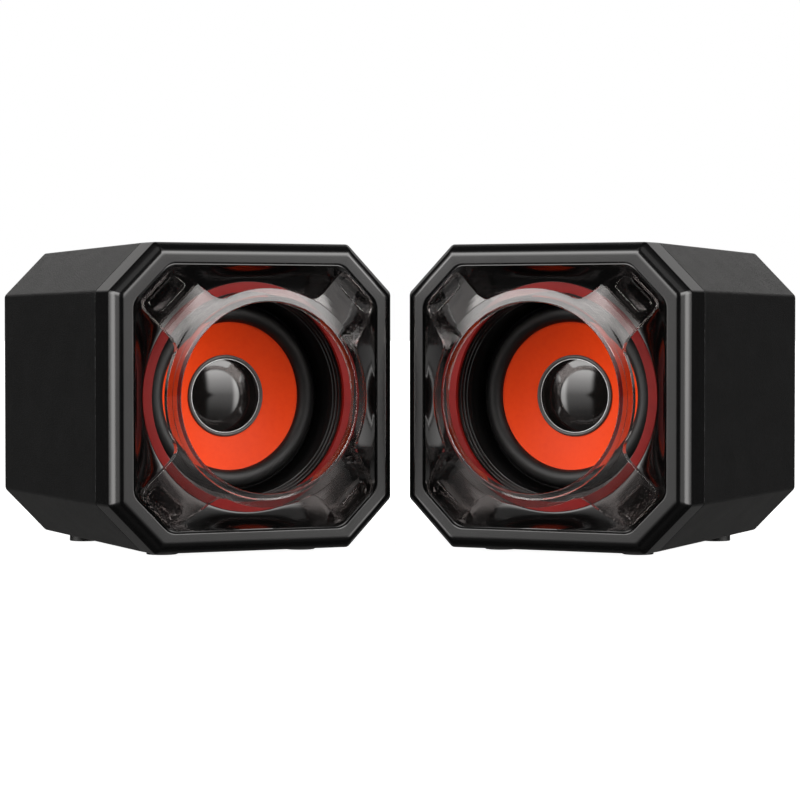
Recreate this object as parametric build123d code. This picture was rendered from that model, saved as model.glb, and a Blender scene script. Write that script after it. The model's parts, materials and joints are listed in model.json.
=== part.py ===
from build123d import *
import os
from math import asin, cos, radians, sin, sqrt

# A pair of compact powered desktop speakers with octagonal fronts, toed in towards the listener.
# The right speaker holds the amplifier and the controls; the left one is its satellite.
# Row frame, in millimetres: +X to the listener's right, -Y towards the listener, +Z up, and the
# origin on the desk, at the middle of the pair's footprint.
# Each speaker is drawn in its own frame, centred on its face: X across, Y up, Z towards the
# listener. A "depth" is the distance behind the flat face of the front rim, so Z = -depth.

# ---- The pair ----
TOE_IN = 27.3            # degrees that each speaker is turned towards the middle
PAIR_GAP = 6.9           # between the two front inner corners

# ---- Outline of one speaker ----
FACE_WIDTH = 104.6
FACE_HEIGHT = 104.0
CORNER_CUT = 16.5        # leg of the 45 degree corner
CORNER_ROUND = 1.8
SPEAKER_DEPTH = 109.6
REAR_DRAFT = 1.7         # each cabinet wall leans in by this much at the rear
WALL = 2.8
FIT = 0.15               # clearance between moulded pieces that plug together

# ---- Front bezel ----
BEZEL_DEPTH = 16.0       # depth of the seam with the cabinet
RIM_INSET = 3.8          # from the widest outline in to the outer edge of the flat rim
SHOULDER_DEPTH = 4.6     # depth where the bevel meets the side wall
RIM_THICKNESS = 2.2
OPENING_WIDTH = 89.6
OPENING_HEIGHT = 89.9
OPENING_CUT = 12.8
POCKET_INSET = 4.8       # wall of the bezel behind its rim
TONGUE_LENGTH = 4.0      # the bezel's tongue, which plugs into the cabinet
TONGUE_CLEARANCE = 0.2

# ---- Baffle ----
LIP_DEPTH = 0.4          # the baffle's lip stands this far behind the rim's face
LIP_WIDTH = 0.6
COVE_DEPTH = 7.0         # floor of the coved surround, where the accent ring lies
COVE_RUN = 5.2           # how far the cove's walls lean in
BAFFLE_BACK = 10.0
THROAT_WALL = 2.2
THROAT_REAR_RADIUS = 32.2
DRIVER_SEAT_DEPTH = 22.5
SEAT_THICKNESS = 3.0
SEAT_RADIUS = 44.0
DRIVER_BOSS_RADIUS = 3.2
DRIVER_BOSS_HOLE_DEPTH = 9.0

# ---- Accent ring ----
RING_OUTER_RADIUS = 39.0
RING_INNER_RADIUS = 35.7
RING_THICKNESS = 1.4
RING_PROUD = 0.2         # above the floor of the cove

# ---- Clear trim: a ring in front of the driver on four arms with legs ----
TRIM_FACE_DEPTH = -9.6   # in front of the rim
TRIM_THICKNESS = 2.6
TRIM_INNER_RADIUS = 32.1
TRIM_OUTER_RADIUS = 36.7
ARM_ROOT_RADIUS = 34.0
ARM_END_RADIUS = 53.0
ARM_END_DEPTH = -2.0
ARM_ROOT_WIDTH = 20.0
ARM_END_WIDTH = 17.5
LEG_WIDTH = 13.5
LEG_INNER_RADIUS = 46.5
LEG_OUTER_RADIUS = 51.5
LEG_SEAT_DEPTH = 8.6

# ---- Driver: basket, suspension and cone ----
GASKET_THICKNESS = 1.0
GASKET_INNER_RADIUS = 33.8
BASKET_RADIUS = 36.2
BASKET_INNER_RADIUS = 31.0
BASKET_SHEET = 1.5
EAR_DISTANCE = 39.8      # from the driver's axis to each mounting screw
EAR_RADIUS = 4.2
EAR_HOLE_RADIUS = 1.7
BASKET_LENGTH = 18.0     # flange face to the top plate
BASKET_NECK_RADIUS = 24.0
BASKET_REAR_HOLE = 14.5
WINDOW_WIDTH = 20.0
CONE_RIM_RADIUS = 26.4   # under the roll's inner foot
CONE_EDGE_RADIUS = 25.4  # where the roll starts
CONE_NECK_RADIUS = 14.2
CONE_FALL = 4.1          # depth of the cone
CONE_SHEET = 0.5
ROLL_OUTER_RADIUS = 31.6
SURROUND_SHEET = 0.5
SURROUND_RIM_RADIUS = 33.5
COIL_FORMER_RADIUS = 12.7
FORMER_SHEET = 0.35
FORMER_LENGTH = 20.6
GLUE_GAP = 0.05
COLLAR_RADIUS = 14.0
COLLAR_HEIGHT = 0.6
CAP_LIP = 0.1            # how far the cap stops short of the former's outside
CAP_HEIGHT = 2.8
CAP_SHEET = 0.4
SPIDER_RADIUS = 24.0
SPIDER_DEPTH = 13.1      # behind the cone's rim
SPIDER_SHEET = 0.4
SPIDER_WAVES = 4
SPIDER_WAVE_HEIGHT = 0.8
SHELF_WIDTH = 4.0

# ---- Driver: magnet system ----
COIL_HEIGHT = 6.0
COIL_LAYER = 0.4
MAGNET_GAP = 0.3         # running gap each side of the coil
TOP_PLATE_RADIUS = 28.0
TOP_PLATE_THICKNESS = 4.0
MAGNET_RADIUS = 30.0
MAGNET_HOLE_RADIUS = 17.0
MAGNET_THICKNESS = 10.0
YOKE_RADIUS = 28.5
YOKE_THICKNESS = 4.0
TERMINAL_WIDTH = 14.0
TERMINAL_THICKNESS = 2.0
TERMINAL_LENGTH = 8.0

# ---- Rear panel and its screws ----
PANEL_THICKNESS = 2.4
PANEL_RECESS = 1.2
PANEL_BOSS_RADIUS = 4.5
PANEL_BOSS_SINK = 1.2    # the boss runs this far into the corner wall
PANEL_BOSS_LENGTH = 40.0
SCREW_RADIUS = 1.3
SCREW_CLEARANCE = 0.1
SCREW_LENGTH = 12.0
HEAD_RADIUS = 2.8
HEAD_HEIGHT = 1.2
HEAD_RECESS = 1.4

# ---- Feet ----
FOOT_RADIUS = 5.3
FOOT_HEIGHT = 1.4        # below the cabinet's lowest edge
FOOT_SEAT = 1.2          # depth of the foot's pocket in the wall
FOOT_SPACING = 51.6
FRONT_FOOT_SETBACK = 6.0 # of the front feet's centres from the seam
REAR_FOOT_SETBACK = 15.6 # of the rear feet's centres from the rear

# ---- Sockets and controls on the rear ----
SOCKET_HEIGHT = -20.0    # of the row of sockets, from the face's centre
SOCKET_PITCH = 22.0
SOCKET_BODY = 14.0       # length of each socket's housing in front of the panel
NOSE_LENGTH = 3.0        # from the panel's inner face to the end of each nose
JACK_BODY = 10.0
JACK_NOSE_RADIUS = 3.2
JACK_BORE_RADIUS = 1.8
JACK_BORE_LENGTH = 14.0
POWER_BODY = 11.0
POWER_NOSE_RADIUS = 4.4
POWER_BORE_RADIUS = 2.85
POWER_BORE_LENGTH = 10.0
POWER_PIN_RADIUS = 1.05
POWER_PIN_SETBACK = 1.0
KNOB_HEIGHT = 20.0       # of the volume knob's axis, from the face's centre
POT_BODY = 12.0
BUSHING_RADIUS = 3.6
BUSHING_LENGTH = 5.0
SHAFT_RADIUS = 3.0
SHAFT_RUNNING_FIT = 0.05
SHAFT_INSIDE = 6.0       # length of shaft in the potentiometer
KNOB_RADIUS = 9.0
KNOB_LENGTH = 11.0
KNOB_GAP = 1.2
KNOB_CAP = 1.4           # solid end of the knob
KNOB_COUNTERBORE_RADIUS = 4.6
KNOB_COUNTERBORE_DEPTH = 2.6

# ---- Boards ----
BOARD_THICKNESS = 1.6
BOARD_WIDTH = 70.0
BOARD_HEIGHT = 62.0
JACK_BOARD_WIDTH = 24.0
JACK_BOARD_HEIGHT = 20.0
STANDOFF_RADIUS = 3.0
STANDOFF_X = 30.0
STANDOFF_Y = 3.0
BOARD_SCREW_RADIUS = 1.2
BOARD_SCREW_LENGTH = 9.0
BOARD_HEAD_RADIUS = 2.4
BOARD_HEAD_HEIGHT = 1.6
CAPACITOR_RADIUS = 5.0
CAPACITOR_HEIGHT = 14.0
CAPACITOR_PITCH = 13.0
CAPACITOR_Y = 20.0
HEATSINK_WIDTH = 24.0
HEATSINK_HEIGHT = 16.0
HEATSINK_BASE = 2.0
HEATSINK_LENGTH = 12.0
HEATSINK_FINS = 5
FIN_THICKNESS = 1.2
HEATSINK_Y = -14.0

# ---- Depths that follow from the above ----
BASKET_FACE = DRIVER_SEAT_DEPTH + GASKET_THICKNESS
ROLL_BASE = BASKET_FACE - SURROUND_SHEET
CONE_FLOOR = ROLL_BASE + CONE_FALL
FORMER_FRONT = CONE_FLOOR - 0.2
CAP_RADIUS = COIL_FORMER_RADIUS - CAP_LIP
BASKET_REAR = BASKET_FACE + BASKET_LENGTH
MAGNET_FRONT = BASKET_REAR + TOP_PLATE_THICKNESS
YOKE_FRONT = MAGNET_FRONT + MAGNET_THICKNESS
PANEL_BACK = SPEAKER_DEPTH - PANEL_RECESS
PANEL_FRONT = PANEL_BACK - PANEL_THICKNESS
BOARD_BACK = PANEL_FRONT - SOCKET_BODY
BOARD_FRONT = BOARD_BACK - BOARD_THICKNESS
FLOOR_Y = -FACE_HEIGHT / 2 - FOOT_HEIGHT
DIAGONALS = (45, 135, 225, 315)


def octagon(width, height, cut):
    """An octagon with 45 degree corners, slightly rounded."""
    x, y = width / 2, height / 2
    corners = []
    for sx, sy in ((1, 1), (-1, 1), (-1, -1), (1, -1)):
        pair = [(sx * x, sy * (y - cut)), (sx * (x - cut), sy * y)]
        corners += pair if sx * sy > 0 else pair[::-1]
    shape = make_face(Polyline(*corners, close=True))
    return fillet(shape.vertices(), CORNER_ROUND)


def outline(inset=0.0):
    """The speaker's outline with every side moved in by inset."""
    cut = CORNER_CUT - inset * (2 - sqrt(2))
    return octagon(FACE_WIDTH - 2 * inset, FACE_HEIGHT - 2 * inset, cut)


def opening(inset=0.0):
    """The front opening with every side moved in by inset."""
    cut = OPENING_CUT - inset * (2 - sqrt(2))
    return octagon(OPENING_WIDTH - 2 * inset, OPENING_HEIGHT - 2 * inset, cut)


def corner_distance(inset=0.0):
    """Distance from the face's centre to the outline's corner faces."""
    return ((FACE_WIDTH + FACE_HEIGHT) / 2 - CORNER_CUT) / sqrt(2) - inset


def draft_at(depth):
    """How far the cabinet's walls have leant in at a depth."""
    return REAR_DRAFT * (depth - BEZEL_DEPTH) / (SPEAKER_DEPTH - BEZEL_DEPTH)


def prism(sketch, front, back):
    """A sketch extruded between two depths."""
    return extrude(Pos(0, 0, -back) * sketch, back - front)


def taper(front_sketch, front, back_sketch, back):
    """A straight-sided solid between two outlines at two depths."""
    return loft([Pos(0, 0, -back) * back_sketch, Pos(0, 0, -front) * front_sketch], ruled=True)


def ring(inner, outer, front, back):
    """A flat ring about the speaker's axis."""
    return prism(Circle(outer) - Circle(inner), front, back)


def rod(radius, front, back, x=0.0, y=0.0):
    """A round rod along the depth."""
    return prism(Pos(x, y) * Circle(radius), front, back)


def block(width, height, front, back, x=0.0, y=0.0):
    """A rectangular block along the depth."""
    return prism(Pos(x, y) * Rectangle(width, height), front, back)


def turned(profile):
    """A profile of (radius, depth) edges turned about the speaker's axis."""
    return revolve(Plane.XZ * make_face(profile), Axis.Z)


def turned_polygon(*points):
    """A polygon of (radius, depth) points turned about the speaker's axis."""
    return turned(Polyline(*[(r, -d) for r, d in points], close=True))


def on_circle(shape, distance, angles):
    """Copies of a shape drawn at the centre, each moved out along one of the angles."""
    return [Rot(0, 0, a) * Pos(distance, 0, 0) * shape for a in angles]


# ---------------------------------------------------------------- cabinet


def panel_boss_distance():
    """Distance of the rear panel's screws from the speaker's axis."""
    return corner_distance(WALL + REAR_DRAFT) - PANEL_BOSS_RADIUS + PANEL_BOSS_SINK


def feet_places():
    """(x, depth, top) of each foot; the top is the ceiling of its pocket."""
    places = []
    for depth in (BEZEL_DEPTH + FRONT_FOOT_SETBACK, SPEAKER_DEPTH - REAR_FOOT_SETBACK):
        top = -FACE_HEIGHT / 2 + draft_at(depth) + FOOT_SEAT
        places += [(side * FOOT_SPACING / 2, depth, top) for side in (-1, 1)]
    return places


def foot_column(radius, x, depth, top):
    """An upright cylinder from the desk to a height."""
    column = Cylinder(radius, top - FLOOR_Y, align=(Align.CENTER, Align.CENTER, Align.MIN))
    return Pos(x, FLOOR_Y, -depth) * Rot(-90, 0, 0) * column


def feet():
    return Part() + [foot_column(FOOT_RADIUS, *place) for place in feet_places()]


def cabinet_shell():
    shell = taper(outline(), BEZEL_DEPTH, outline(REAR_DRAFT), SPEAKER_DEPTH)
    shell -= taper(outline(WALL), BEZEL_DEPTH, outline(WALL + REAR_DRAFT), SPEAKER_DEPTH)
    boss = rod(PANEL_BOSS_RADIUS, PANEL_FRONT - PANEL_BOSS_LENGTH, PANEL_FRONT)
    hole = rod(SCREW_RADIUS, PANEL_FRONT - SCREW_LENGTH - 1, PANEL_FRONT)
    for solid in on_circle(boss - hole, panel_boss_distance(), DIAGONALS):
        shell += solid
    for solid in on_circle(hole, panel_boss_distance(), DIAGONALS):
        shell -= solid
    for place in feet_places():
        shell -= foot_column(FOOT_RADIUS, *place)
    return shell


def blank_rear_panel():
    panel = prism(outline(WALL + REAR_DRAFT + FIT), PANEL_FRONT, PANEL_BACK)
    hole = rod(SCREW_RADIUS + SCREW_CLEARANCE, PANEL_FRONT, PANEL_BACK)
    hole += rod(HEAD_RADIUS + SCREW_CLEARANCE, PANEL_BACK - HEAD_RECESS, PANEL_BACK)
    for solid in on_circle(hole, panel_boss_distance(), DIAGONALS):
        panel -= solid
    return panel


def rear_panel_screws():
    seat = PANEL_BACK - HEAD_RECESS
    screw = rod(HEAD_RADIUS, seat, seat + HEAD_HEIGHT)
    screw += rod(SCREW_RADIUS, seat - SCREW_LENGTH, seat)
    return Part() + on_circle(screw, panel_boss_distance(), DIAGONALS)


# ---------------------------------------------------------------- front


def front_bezel():
    back = BEZEL_DEPTH + TONGUE_LENGTH
    bezel = taper(outline(RIM_INSET), 0, outline(), SHOULDER_DEPTH)
    bezel += prism(outline(), SHOULDER_DEPTH, BEZEL_DEPTH)
    bezel += prism(outline(WALL + TONGUE_CLEARANCE), BEZEL_DEPTH, back)
    bezel -= prism(outline(POCKET_INSET), RIM_THICKNESS, back)
    return bezel - prism(opening(), 0, back)


def leg_profile(growth):
    """A leg's cross-section, with room all round it."""
    centre = (LEG_INNER_RADIUS + LEG_OUTER_RADIUS) / 2
    length = LEG_OUTER_RADIUS - LEG_INNER_RADIUS
    return Pos(centre, 0) * Rectangle(length + 2 * growth, LEG_WIDTH + 2 * growth)


def baffle():
    plate = prism(outline(POCKET_INSET + FIT), RIM_THICKNESS, BAFFLE_BACK)
    plate += prism(opening(FIT), LIP_DEPTH, RIM_THICKNESS)
    plate += rod(SEAT_RADIUS, DRIVER_SEAT_DEPTH - SEAT_THICKNESS, DRIVER_SEAT_DEPTH)
    ring_floor = COVE_DEPTH - RING_PROUD + RING_THICKNESS
    plate += turned_polygon(
        (0, BAFFLE_BACK - 1),
        (RING_INNER_RADIUS + THROAT_WALL, BAFFLE_BACK - 1),
        (THROAT_REAR_RADIUS + THROAT_WALL, DRIVER_SEAT_DEPTH),
        (0, DRIVER_SEAT_DEPTH),
    )
    boss = rod(DRIVER_BOSS_RADIUS, BAFFLE_BACK - 1, DRIVER_SEAT_DEPTH)
    for solid in on_circle(boss, EAR_DISTANCE, DIAGONALS):
        plate += solid
    hole = rod(SCREW_RADIUS, DRIVER_SEAT_DEPTH - DRIVER_BOSS_HOLE_DEPTH, DRIVER_SEAT_DEPTH)
    for solid in on_circle(hole, EAR_DISTANCE, DIAGONALS):
        plate -= solid
    plate -= taper(opening(FIT + LIP_WIDTH), LIP_DEPTH, opening(COVE_RUN), COVE_DEPTH)
    plate -= rod(RING_OUTER_RADIUS + FIT, COVE_DEPTH, ring_floor)
    plate -= turned_polygon(
        (0, ring_floor),
        (RING_INNER_RADIUS, ring_floor),
        (THROAT_REAR_RADIUS, DRIVER_SEAT_DEPTH),
        (0, DRIVER_SEAT_DEPTH),
    )
    for solid in on_circle(prism(leg_profile(FIT), LIP_DEPTH, LEG_SEAT_DEPTH), 0, DIAGONALS):
        plate -= solid
    return plate


def accent_ring():
    front = COVE_DEPTH - RING_PROUD
    return ring(RING_INNER_RADIUS, RING_OUTER_RADIUS, front, front + RING_THICKNESS)


def clear_trim():
    face, back = TRIM_FACE_DEPTH, TRIM_FACE_DEPTH + TRIM_THICKNESS
    trim = ring(TRIM_INNER_RADIUS, TRIM_OUTER_RADIUS, face, back)
    plan = make_face(Polyline(
        (ARM_ROOT_RADIUS, -ARM_ROOT_WIDTH / 2),
        (ARM_END_RADIUS, -ARM_END_WIDTH / 2),
        (ARM_END_RADIUS, ARM_END_WIDTH / 2),
        (ARM_ROOT_RADIUS, ARM_ROOT_WIDTH / 2),
        close=True,
    ))
    side = make_face(Polyline(
        (ARM_ROOT_RADIUS, -face),
        (ARM_END_RADIUS, -ARM_END_DEPTH),
        (ARM_END_RADIUS, -ARM_END_DEPTH - TRIM_THICKNESS),
        (ARM_ROOT_RADIUS, -back),
        close=True,
    ))
    arm = extrude(Plane.XZ * side, ARM_ROOT_WIDTH, both=True)
    arm &= prism(plan, face, LEG_SEAT_DEPTH)
    slope = (ARM_END_DEPTH - face) / (ARM_END_RADIUS - ARM_ROOT_RADIUS)
    middle = face + TRIM_THICKNESS / 2
    inner_top = middle + slope * (LEG_INNER_RADIUS - ARM_ROOT_RADIUS)
    outer_top = middle + slope * (LEG_OUTER_RADIUS - ARM_ROOT_RADIUS)
    leg_side = make_face(Polyline(
        (LEG_INNER_RADIUS, -inner_top),
        (LEG_OUTER_RADIUS, -outer_top),
        (LEG_OUTER_RADIUS, -LEG_SEAT_DEPTH),
        (LEG_INNER_RADIUS, -LEG_SEAT_DEPTH),
        close=True,
    ))
    arm += extrude(Plane.XZ * leg_side, LEG_WIDTH / 2, both=True)
    arm -= rod(TRIM_INNER_RADIUS, face, LEG_SEAT_DEPTH)
    for solid in on_circle(arm, 0, DIAGONALS):
        trim += solid
    return trim


# ---------------------------------------------------------------- driver


def flange_plan(inner_radius):
    """The driver's round flange with four screw ears."""
    ear = Circle(EAR_RADIUS)
    neck = Pos(-EAR_RADIUS, 0) * Rectangle(2 * EAR_RADIUS, 2 * EAR_RADIUS)
    plan = Circle(BASKET_RADIUS)
    for shape in on_circle(ear + neck, EAR_DISTANCE, DIAGONALS):
        plan += shape
    for shape in on_circle(Circle(EAR_HOLE_RADIUS), EAR_DISTANCE, DIAGONALS):
        plan -= shape
    return plan - Circle(inner_radius)


def driver_gasket():
    return prism(flange_plan(GASKET_INNER_RADIUS), DRIVER_SEAT_DEPTH, BASKET_FACE)


def spider_face():
    """Depth of the shelf that the spider is glued to."""
    return ROLL_BASE + SPIDER_DEPTH


def driver_basket():
    flange_back = BASKET_FACE + BASKET_SHEET
    basket = prism(flange_plan(BASKET_INNER_RADIUS), BASKET_FACE, flange_back)
    frame = turned_polygon(
        (BASKET_INNER_RADIUS, flange_back),
        (BASKET_INNER_RADIUS + BASKET_SHEET, flange_back),
        (BASKET_NECK_RADIUS + BASKET_SHEET, BASKET_REAR - BASKET_SHEET),
        (BASKET_NECK_RADIUS, BASKET_REAR),
        (BASKET_REAR_HOLE, BASKET_REAR),
        (BASKET_REAR_HOLE, BASKET_REAR - BASKET_SHEET),
        (BASKET_NECK_RADIUS, BASKET_REAR - BASKET_SHEET),
    )
    window = block(2 * BASKET_RADIUS, WINDOW_WIDTH, flange_back + 1, spider_face() - 1)
    window -= rod(BASKET_NECK_RADIUS - SHELF_WIDTH, flange_back, spider_face())
    frame -= window
    frame -= Rot(0, 0, 90) * window
    frame += ring(SPIDER_RADIUS - SHELF_WIDTH / 2, SPIDER_RADIUS + SHELF_WIDTH / 2,
                  spider_face(), spider_face() + 1)
    return basket + frame


def terminal_strip():
    y = -BASKET_INNER_RADIUS - BASKET_SHEET - TERMINAL_THICKNESS
    front = BASKET_FACE + BASKET_SHEET
    return block(TERMINAL_WIDTH, TERMINAL_THICKNESS, front, front + TERMINAL_LENGTH, 0, y)


def driver_screws():
    seat = BASKET_FACE + BASKET_SHEET
    screw = rod(HEAD_RADIUS, seat, seat + HEAD_HEIGHT)
    screw += rod(SCREW_RADIUS, DRIVER_SEAT_DEPTH - DRIVER_BOSS_HOLE_DEPTH + 1, seat)
    return Part() + on_circle(screw, EAR_DISTANCE, DIAGONALS)


def surround():
    centre = (CONE_EDGE_RADIUS + ROLL_OUTER_RADIUS) / 2
    outer = (ROLL_OUTER_RADIUS - CONE_EDGE_RADIUS) / 2
    inner = outer - SURROUND_SHEET
    z, rim = -ROLL_BASE, -BASKET_FACE
    profile = ThreePointArc((centre - outer, z), (centre, z + outer), (centre + outer, z))
    profile += Polyline(
        (centre + outer, z), (SURROUND_RIM_RADIUS, z), (SURROUND_RIM_RADIUS, rim),
        (centre + inner, rim), (centre + inner, z),
    )
    profile += ThreePointArc((centre + inner, z), (centre, z + inner), (centre - inner, z))
    profile += Line((centre - inner, z), (centre - outer, z))
    return turned(profile)


def cone():
    neck_hole = COIL_FORMER_RADIUS + GLUE_GAP
    return turned_polygon(
        (CONE_RIM_RADIUS, ROLL_BASE),
        (CONE_EDGE_RADIUS, ROLL_BASE),
        (CONE_NECK_RADIUS, CONE_FLOOR),
        (neck_hole, CONE_FLOOR),
        (neck_hole, CONE_FLOOR + CONE_SHEET),
        (CONE_NECK_RADIUS, CONE_FLOOR + CONE_SHEET),
        (CONE_EDGE_RADIUS, ROLL_BASE + CONE_SHEET),
        (CONE_RIM_RADIUS, ROLL_BASE + CONE_SHEET),
    )


def cone_collar():
    inner, front = COIL_FORMER_RADIUS + GLUE_GAP, CONE_FLOOR - COLLAR_HEIGHT
    return turned_polygon(
        (inner, front), (COLLAR_RADIUS - COLLAR_HEIGHT / 2, front),
        (COLLAR_RADIUS, CONE_FLOOR), (inner, CONE_FLOOR),
    )


def cap_arc(radius, height):
    """A dome's arc from its base to the axis, as three (radius, z) points."""
    sphere = (radius ** 2 + height ** 2) / (2 * height)
    half_angle = asin(radius / sphere) / 2
    top = height - FORMER_FRONT
    centre = top - sphere
    return (
        (radius, -FORMER_FRONT),
        (sphere * sin(half_angle), centre + sphere * cos(half_angle)),
        (0, top),
    )


def dust_cap():
    outside = cap_arc(CAP_RADIUS, CAP_HEIGHT)
    inside = cap_arc(CAP_RADIUS - CAP_SHEET, CAP_HEIGHT - CAP_SHEET)
    profile = ThreePointArc(*outside) + Line(outside[2], inside[2])
    profile += ThreePointArc(*inside[::-1])
    profile += Line(inside[0], outside[0])
    return turned(profile)


def voice_coil_former():
    inner = COIL_FORMER_RADIUS - FORMER_SHEET
    return ring(inner, COIL_FORMER_RADIUS, FORMER_FRONT, FORMER_FRONT + FORMER_LENGTH)


def voice_coil():
    back = FORMER_FRONT + FORMER_LENGTH
    return ring(COIL_FORMER_RADIUS, COIL_FORMER_RADIUS + COIL_LAYER, back - COIL_HEIGHT, back)


def spider():
    """A corrugated disc between the coil former and the basket's shelf."""
    inner = COIL_FORMER_RADIUS + GLUE_GAP
    shelf = SPIDER_RADIUS - SHELF_WIDTH / 2
    base = spider_face() - SPIDER_SHEET
    step = (shelf - inner - 1) / (2 * SPIDER_WAVES)
    front = [(inner, base)]
    for i in range(2 * SPIDER_WAVES + 1):
        front.append((inner + 0.5 + i * step, base - (i % 2) * SPIDER_WAVE_HEIGHT))
    front.append((SPIDER_RADIUS, base))
    back = [(r, d + SPIDER_SHEET) for r, d in reversed(front)]
    return turned_polygon(*front, *back)


def top_plate():
    hole = COIL_FORMER_RADIUS + COIL_LAYER + MAGNET_GAP
    return ring(hole, TOP_PLATE_RADIUS, BASKET_REAR, MAGNET_FRONT)


def magnet():
    return ring(MAGNET_HOLE_RADIUS, MAGNET_RADIUS, MAGNET_FRONT, YOKE_FRONT)


def pole_yoke():
    pole = COIL_FORMER_RADIUS - FORMER_SHEET - MAGNET_GAP
    yoke = rod(YOKE_RADIUS, YOKE_FRONT, YOKE_FRONT + YOKE_THICKNESS)
    return yoke + rod(pole, BASKET_REAR, YOKE_FRONT)


# ---------------------------------------------------------------- sockets, controls and boards


def audio_socket(x):
    end = PANEL_FRONT + NOSE_LENGTH
    socket = block(JACK_BODY, JACK_BODY, BOARD_BACK, PANEL_FRONT, x, SOCKET_HEIGHT)
    socket += rod(JACK_NOSE_RADIUS, PANEL_FRONT, end, x, SOCKET_HEIGHT)
    return socket - rod(JACK_BORE_RADIUS, end - JACK_BORE_LENGTH, end, x, SOCKET_HEIGHT)


def power_inlet(x):
    end = PANEL_FRONT + NOSE_LENGTH
    bottom = end - POWER_BORE_LENGTH
    inlet = block(POWER_BODY, POWER_BODY, BOARD_BACK, PANEL_FRONT, x, SOCKET_HEIGHT)
    inlet += rod(POWER_NOSE_RADIUS, PANEL_FRONT, end, x, SOCKET_HEIGHT)
    inlet -= rod(POWER_BORE_RADIUS, bottom, end, x, SOCKET_HEIGHT)
    return inlet + rod(POWER_PIN_RADIUS, bottom - 1, end - POWER_PIN_SETBACK, x, SOCKET_HEIGHT)


def panel_hole(radius, x, y):
    return rod(radius + FIT, PANEL_FRONT, PANEL_BACK, x, y)


def volume_pot():
    pot = block(POT_BODY, POT_BODY, BOARD_BACK, PANEL_FRONT, 0, KNOB_HEIGHT)
    pot += rod(BUSHING_RADIUS, PANEL_FRONT, PANEL_FRONT + BUSHING_LENGTH, 0, KNOB_HEIGHT)
    bore = SHAFT_RADIUS + SHAFT_RUNNING_FIT
    front = PANEL_FRONT - SHAFT_INSIDE - 0.5
    return pot - rod(bore, front, PANEL_FRONT + BUSHING_LENGTH, 0, KNOB_HEIGHT)


def knob_front():
    """Depth of the knob's edge next to the panel."""
    return PANEL_BACK + KNOB_GAP


def volume_shaft():
    back = knob_front() + KNOB_LENGTH - KNOB_CAP
    return rod(SHAFT_RADIUS, PANEL_FRONT - SHAFT_INSIDE, back, 0, KNOB_HEIGHT)


def volume_knob():
    front, back = knob_front(), knob_front() + KNOB_LENGTH
    knob = rod(KNOB_RADIUS, front, back, 0, KNOB_HEIGHT)
    knob = chamfer(knob.faces().sort_by(Axis.Z)[0].edges(), 0.8)
    knob -= rod(KNOB_COUNTERBORE_RADIUS, front, front + KNOB_COUNTERBORE_DEPTH, 0, KNOB_HEIGHT)
    return knob - rod(SHAFT_RADIUS, front, back - KNOB_CAP, 0, KNOB_HEIGHT)


def standoff_places():
    return [(side * STANDOFF_X, STANDOFF_Y) for side in (-1, 1)]


def amplifier_board():
    board = block(BOARD_WIDTH, BOARD_HEIGHT, BOARD_FRONT, BOARD_BACK)
    for x, y in standoff_places():
        board -= rod(BOARD_SCREW_RADIUS + SCREW_CLEARANCE, BOARD_FRONT, BOARD_BACK, x, y)
    return board


def board_screws():
    screws = Part()
    for x, y in standoff_places():
        screw = rod(BOARD_HEAD_RADIUS, BOARD_FRONT - BOARD_HEAD_HEIGHT, BOARD_FRONT, x, y)
        screws += screw + rod(BOARD_SCREW_RADIUS, BOARD_FRONT, BOARD_FRONT + BOARD_SCREW_LENGTH, x, y)
    return screws


def capacitors():
    front = BOARD_FRONT - CAPACITOR_HEIGHT
    places = [i * CAPACITOR_PITCH for i in (-1.5, -0.5, 0.5, 1.5)]
    return Part() + [rod(CAPACITOR_RADIUS, front, BOARD_FRONT, x, CAPACITOR_Y) for x in places]


def heatsink():
    front = BOARD_FRONT - HEATSINK_LENGTH
    low = HEATSINK_Y - HEATSINK_HEIGHT / 2
    sink = block(HEATSINK_WIDTH, HEATSINK_BASE, front, BOARD_FRONT, 0, low)
    pitch = (HEATSINK_WIDTH - FIN_THICKNESS) / (HEATSINK_FINS - 1)
    for i in range(HEATSINK_FINS):
        x = -HEATSINK_WIDTH / 2 + FIN_THICKNESS / 2 + i * pitch
        sink += block(FIN_THICKNESS, HEATSINK_HEIGHT, front, BOARD_FRONT, x,
                      low + HEATSINK_HEIGHT / 2)
    return sink


def satellite_jack_board():
    return block(JACK_BOARD_WIDTH, JACK_BOARD_HEIGHT, BOARD_FRONT, BOARD_BACK, 0, SOCKET_HEIGHT)


def satellite_rear_panel():
    return blank_rear_panel() - panel_hole(JACK_NOSE_RADIUS, 0, SOCKET_HEIGHT)


def active_rear_panel():
    panel = blank_rear_panel()
    panel -= panel_hole(POWER_NOSE_RADIUS, -SOCKET_PITCH, SOCKET_HEIGHT)
    panel -= panel_hole(JACK_NOSE_RADIUS, 0, SOCKET_HEIGHT)
    panel -= panel_hole(JACK_NOSE_RADIUS, SOCKET_PITCH, SOCKET_HEIGHT)
    panel -= panel_hole(BUSHING_RADIUS, 0, KNOB_HEIGHT)
    for x, y in standoff_places():
        panel += rod(STANDOFF_RADIUS, BOARD_BACK, PANEL_FRONT, x, y)
        panel -= rod(BOARD_SCREW_RADIUS, BOARD_BACK, BOARD_BACK + BOARD_SCREW_LENGTH, x, y)
    return panel


# ---------------------------------------------------------------- the pair

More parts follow.
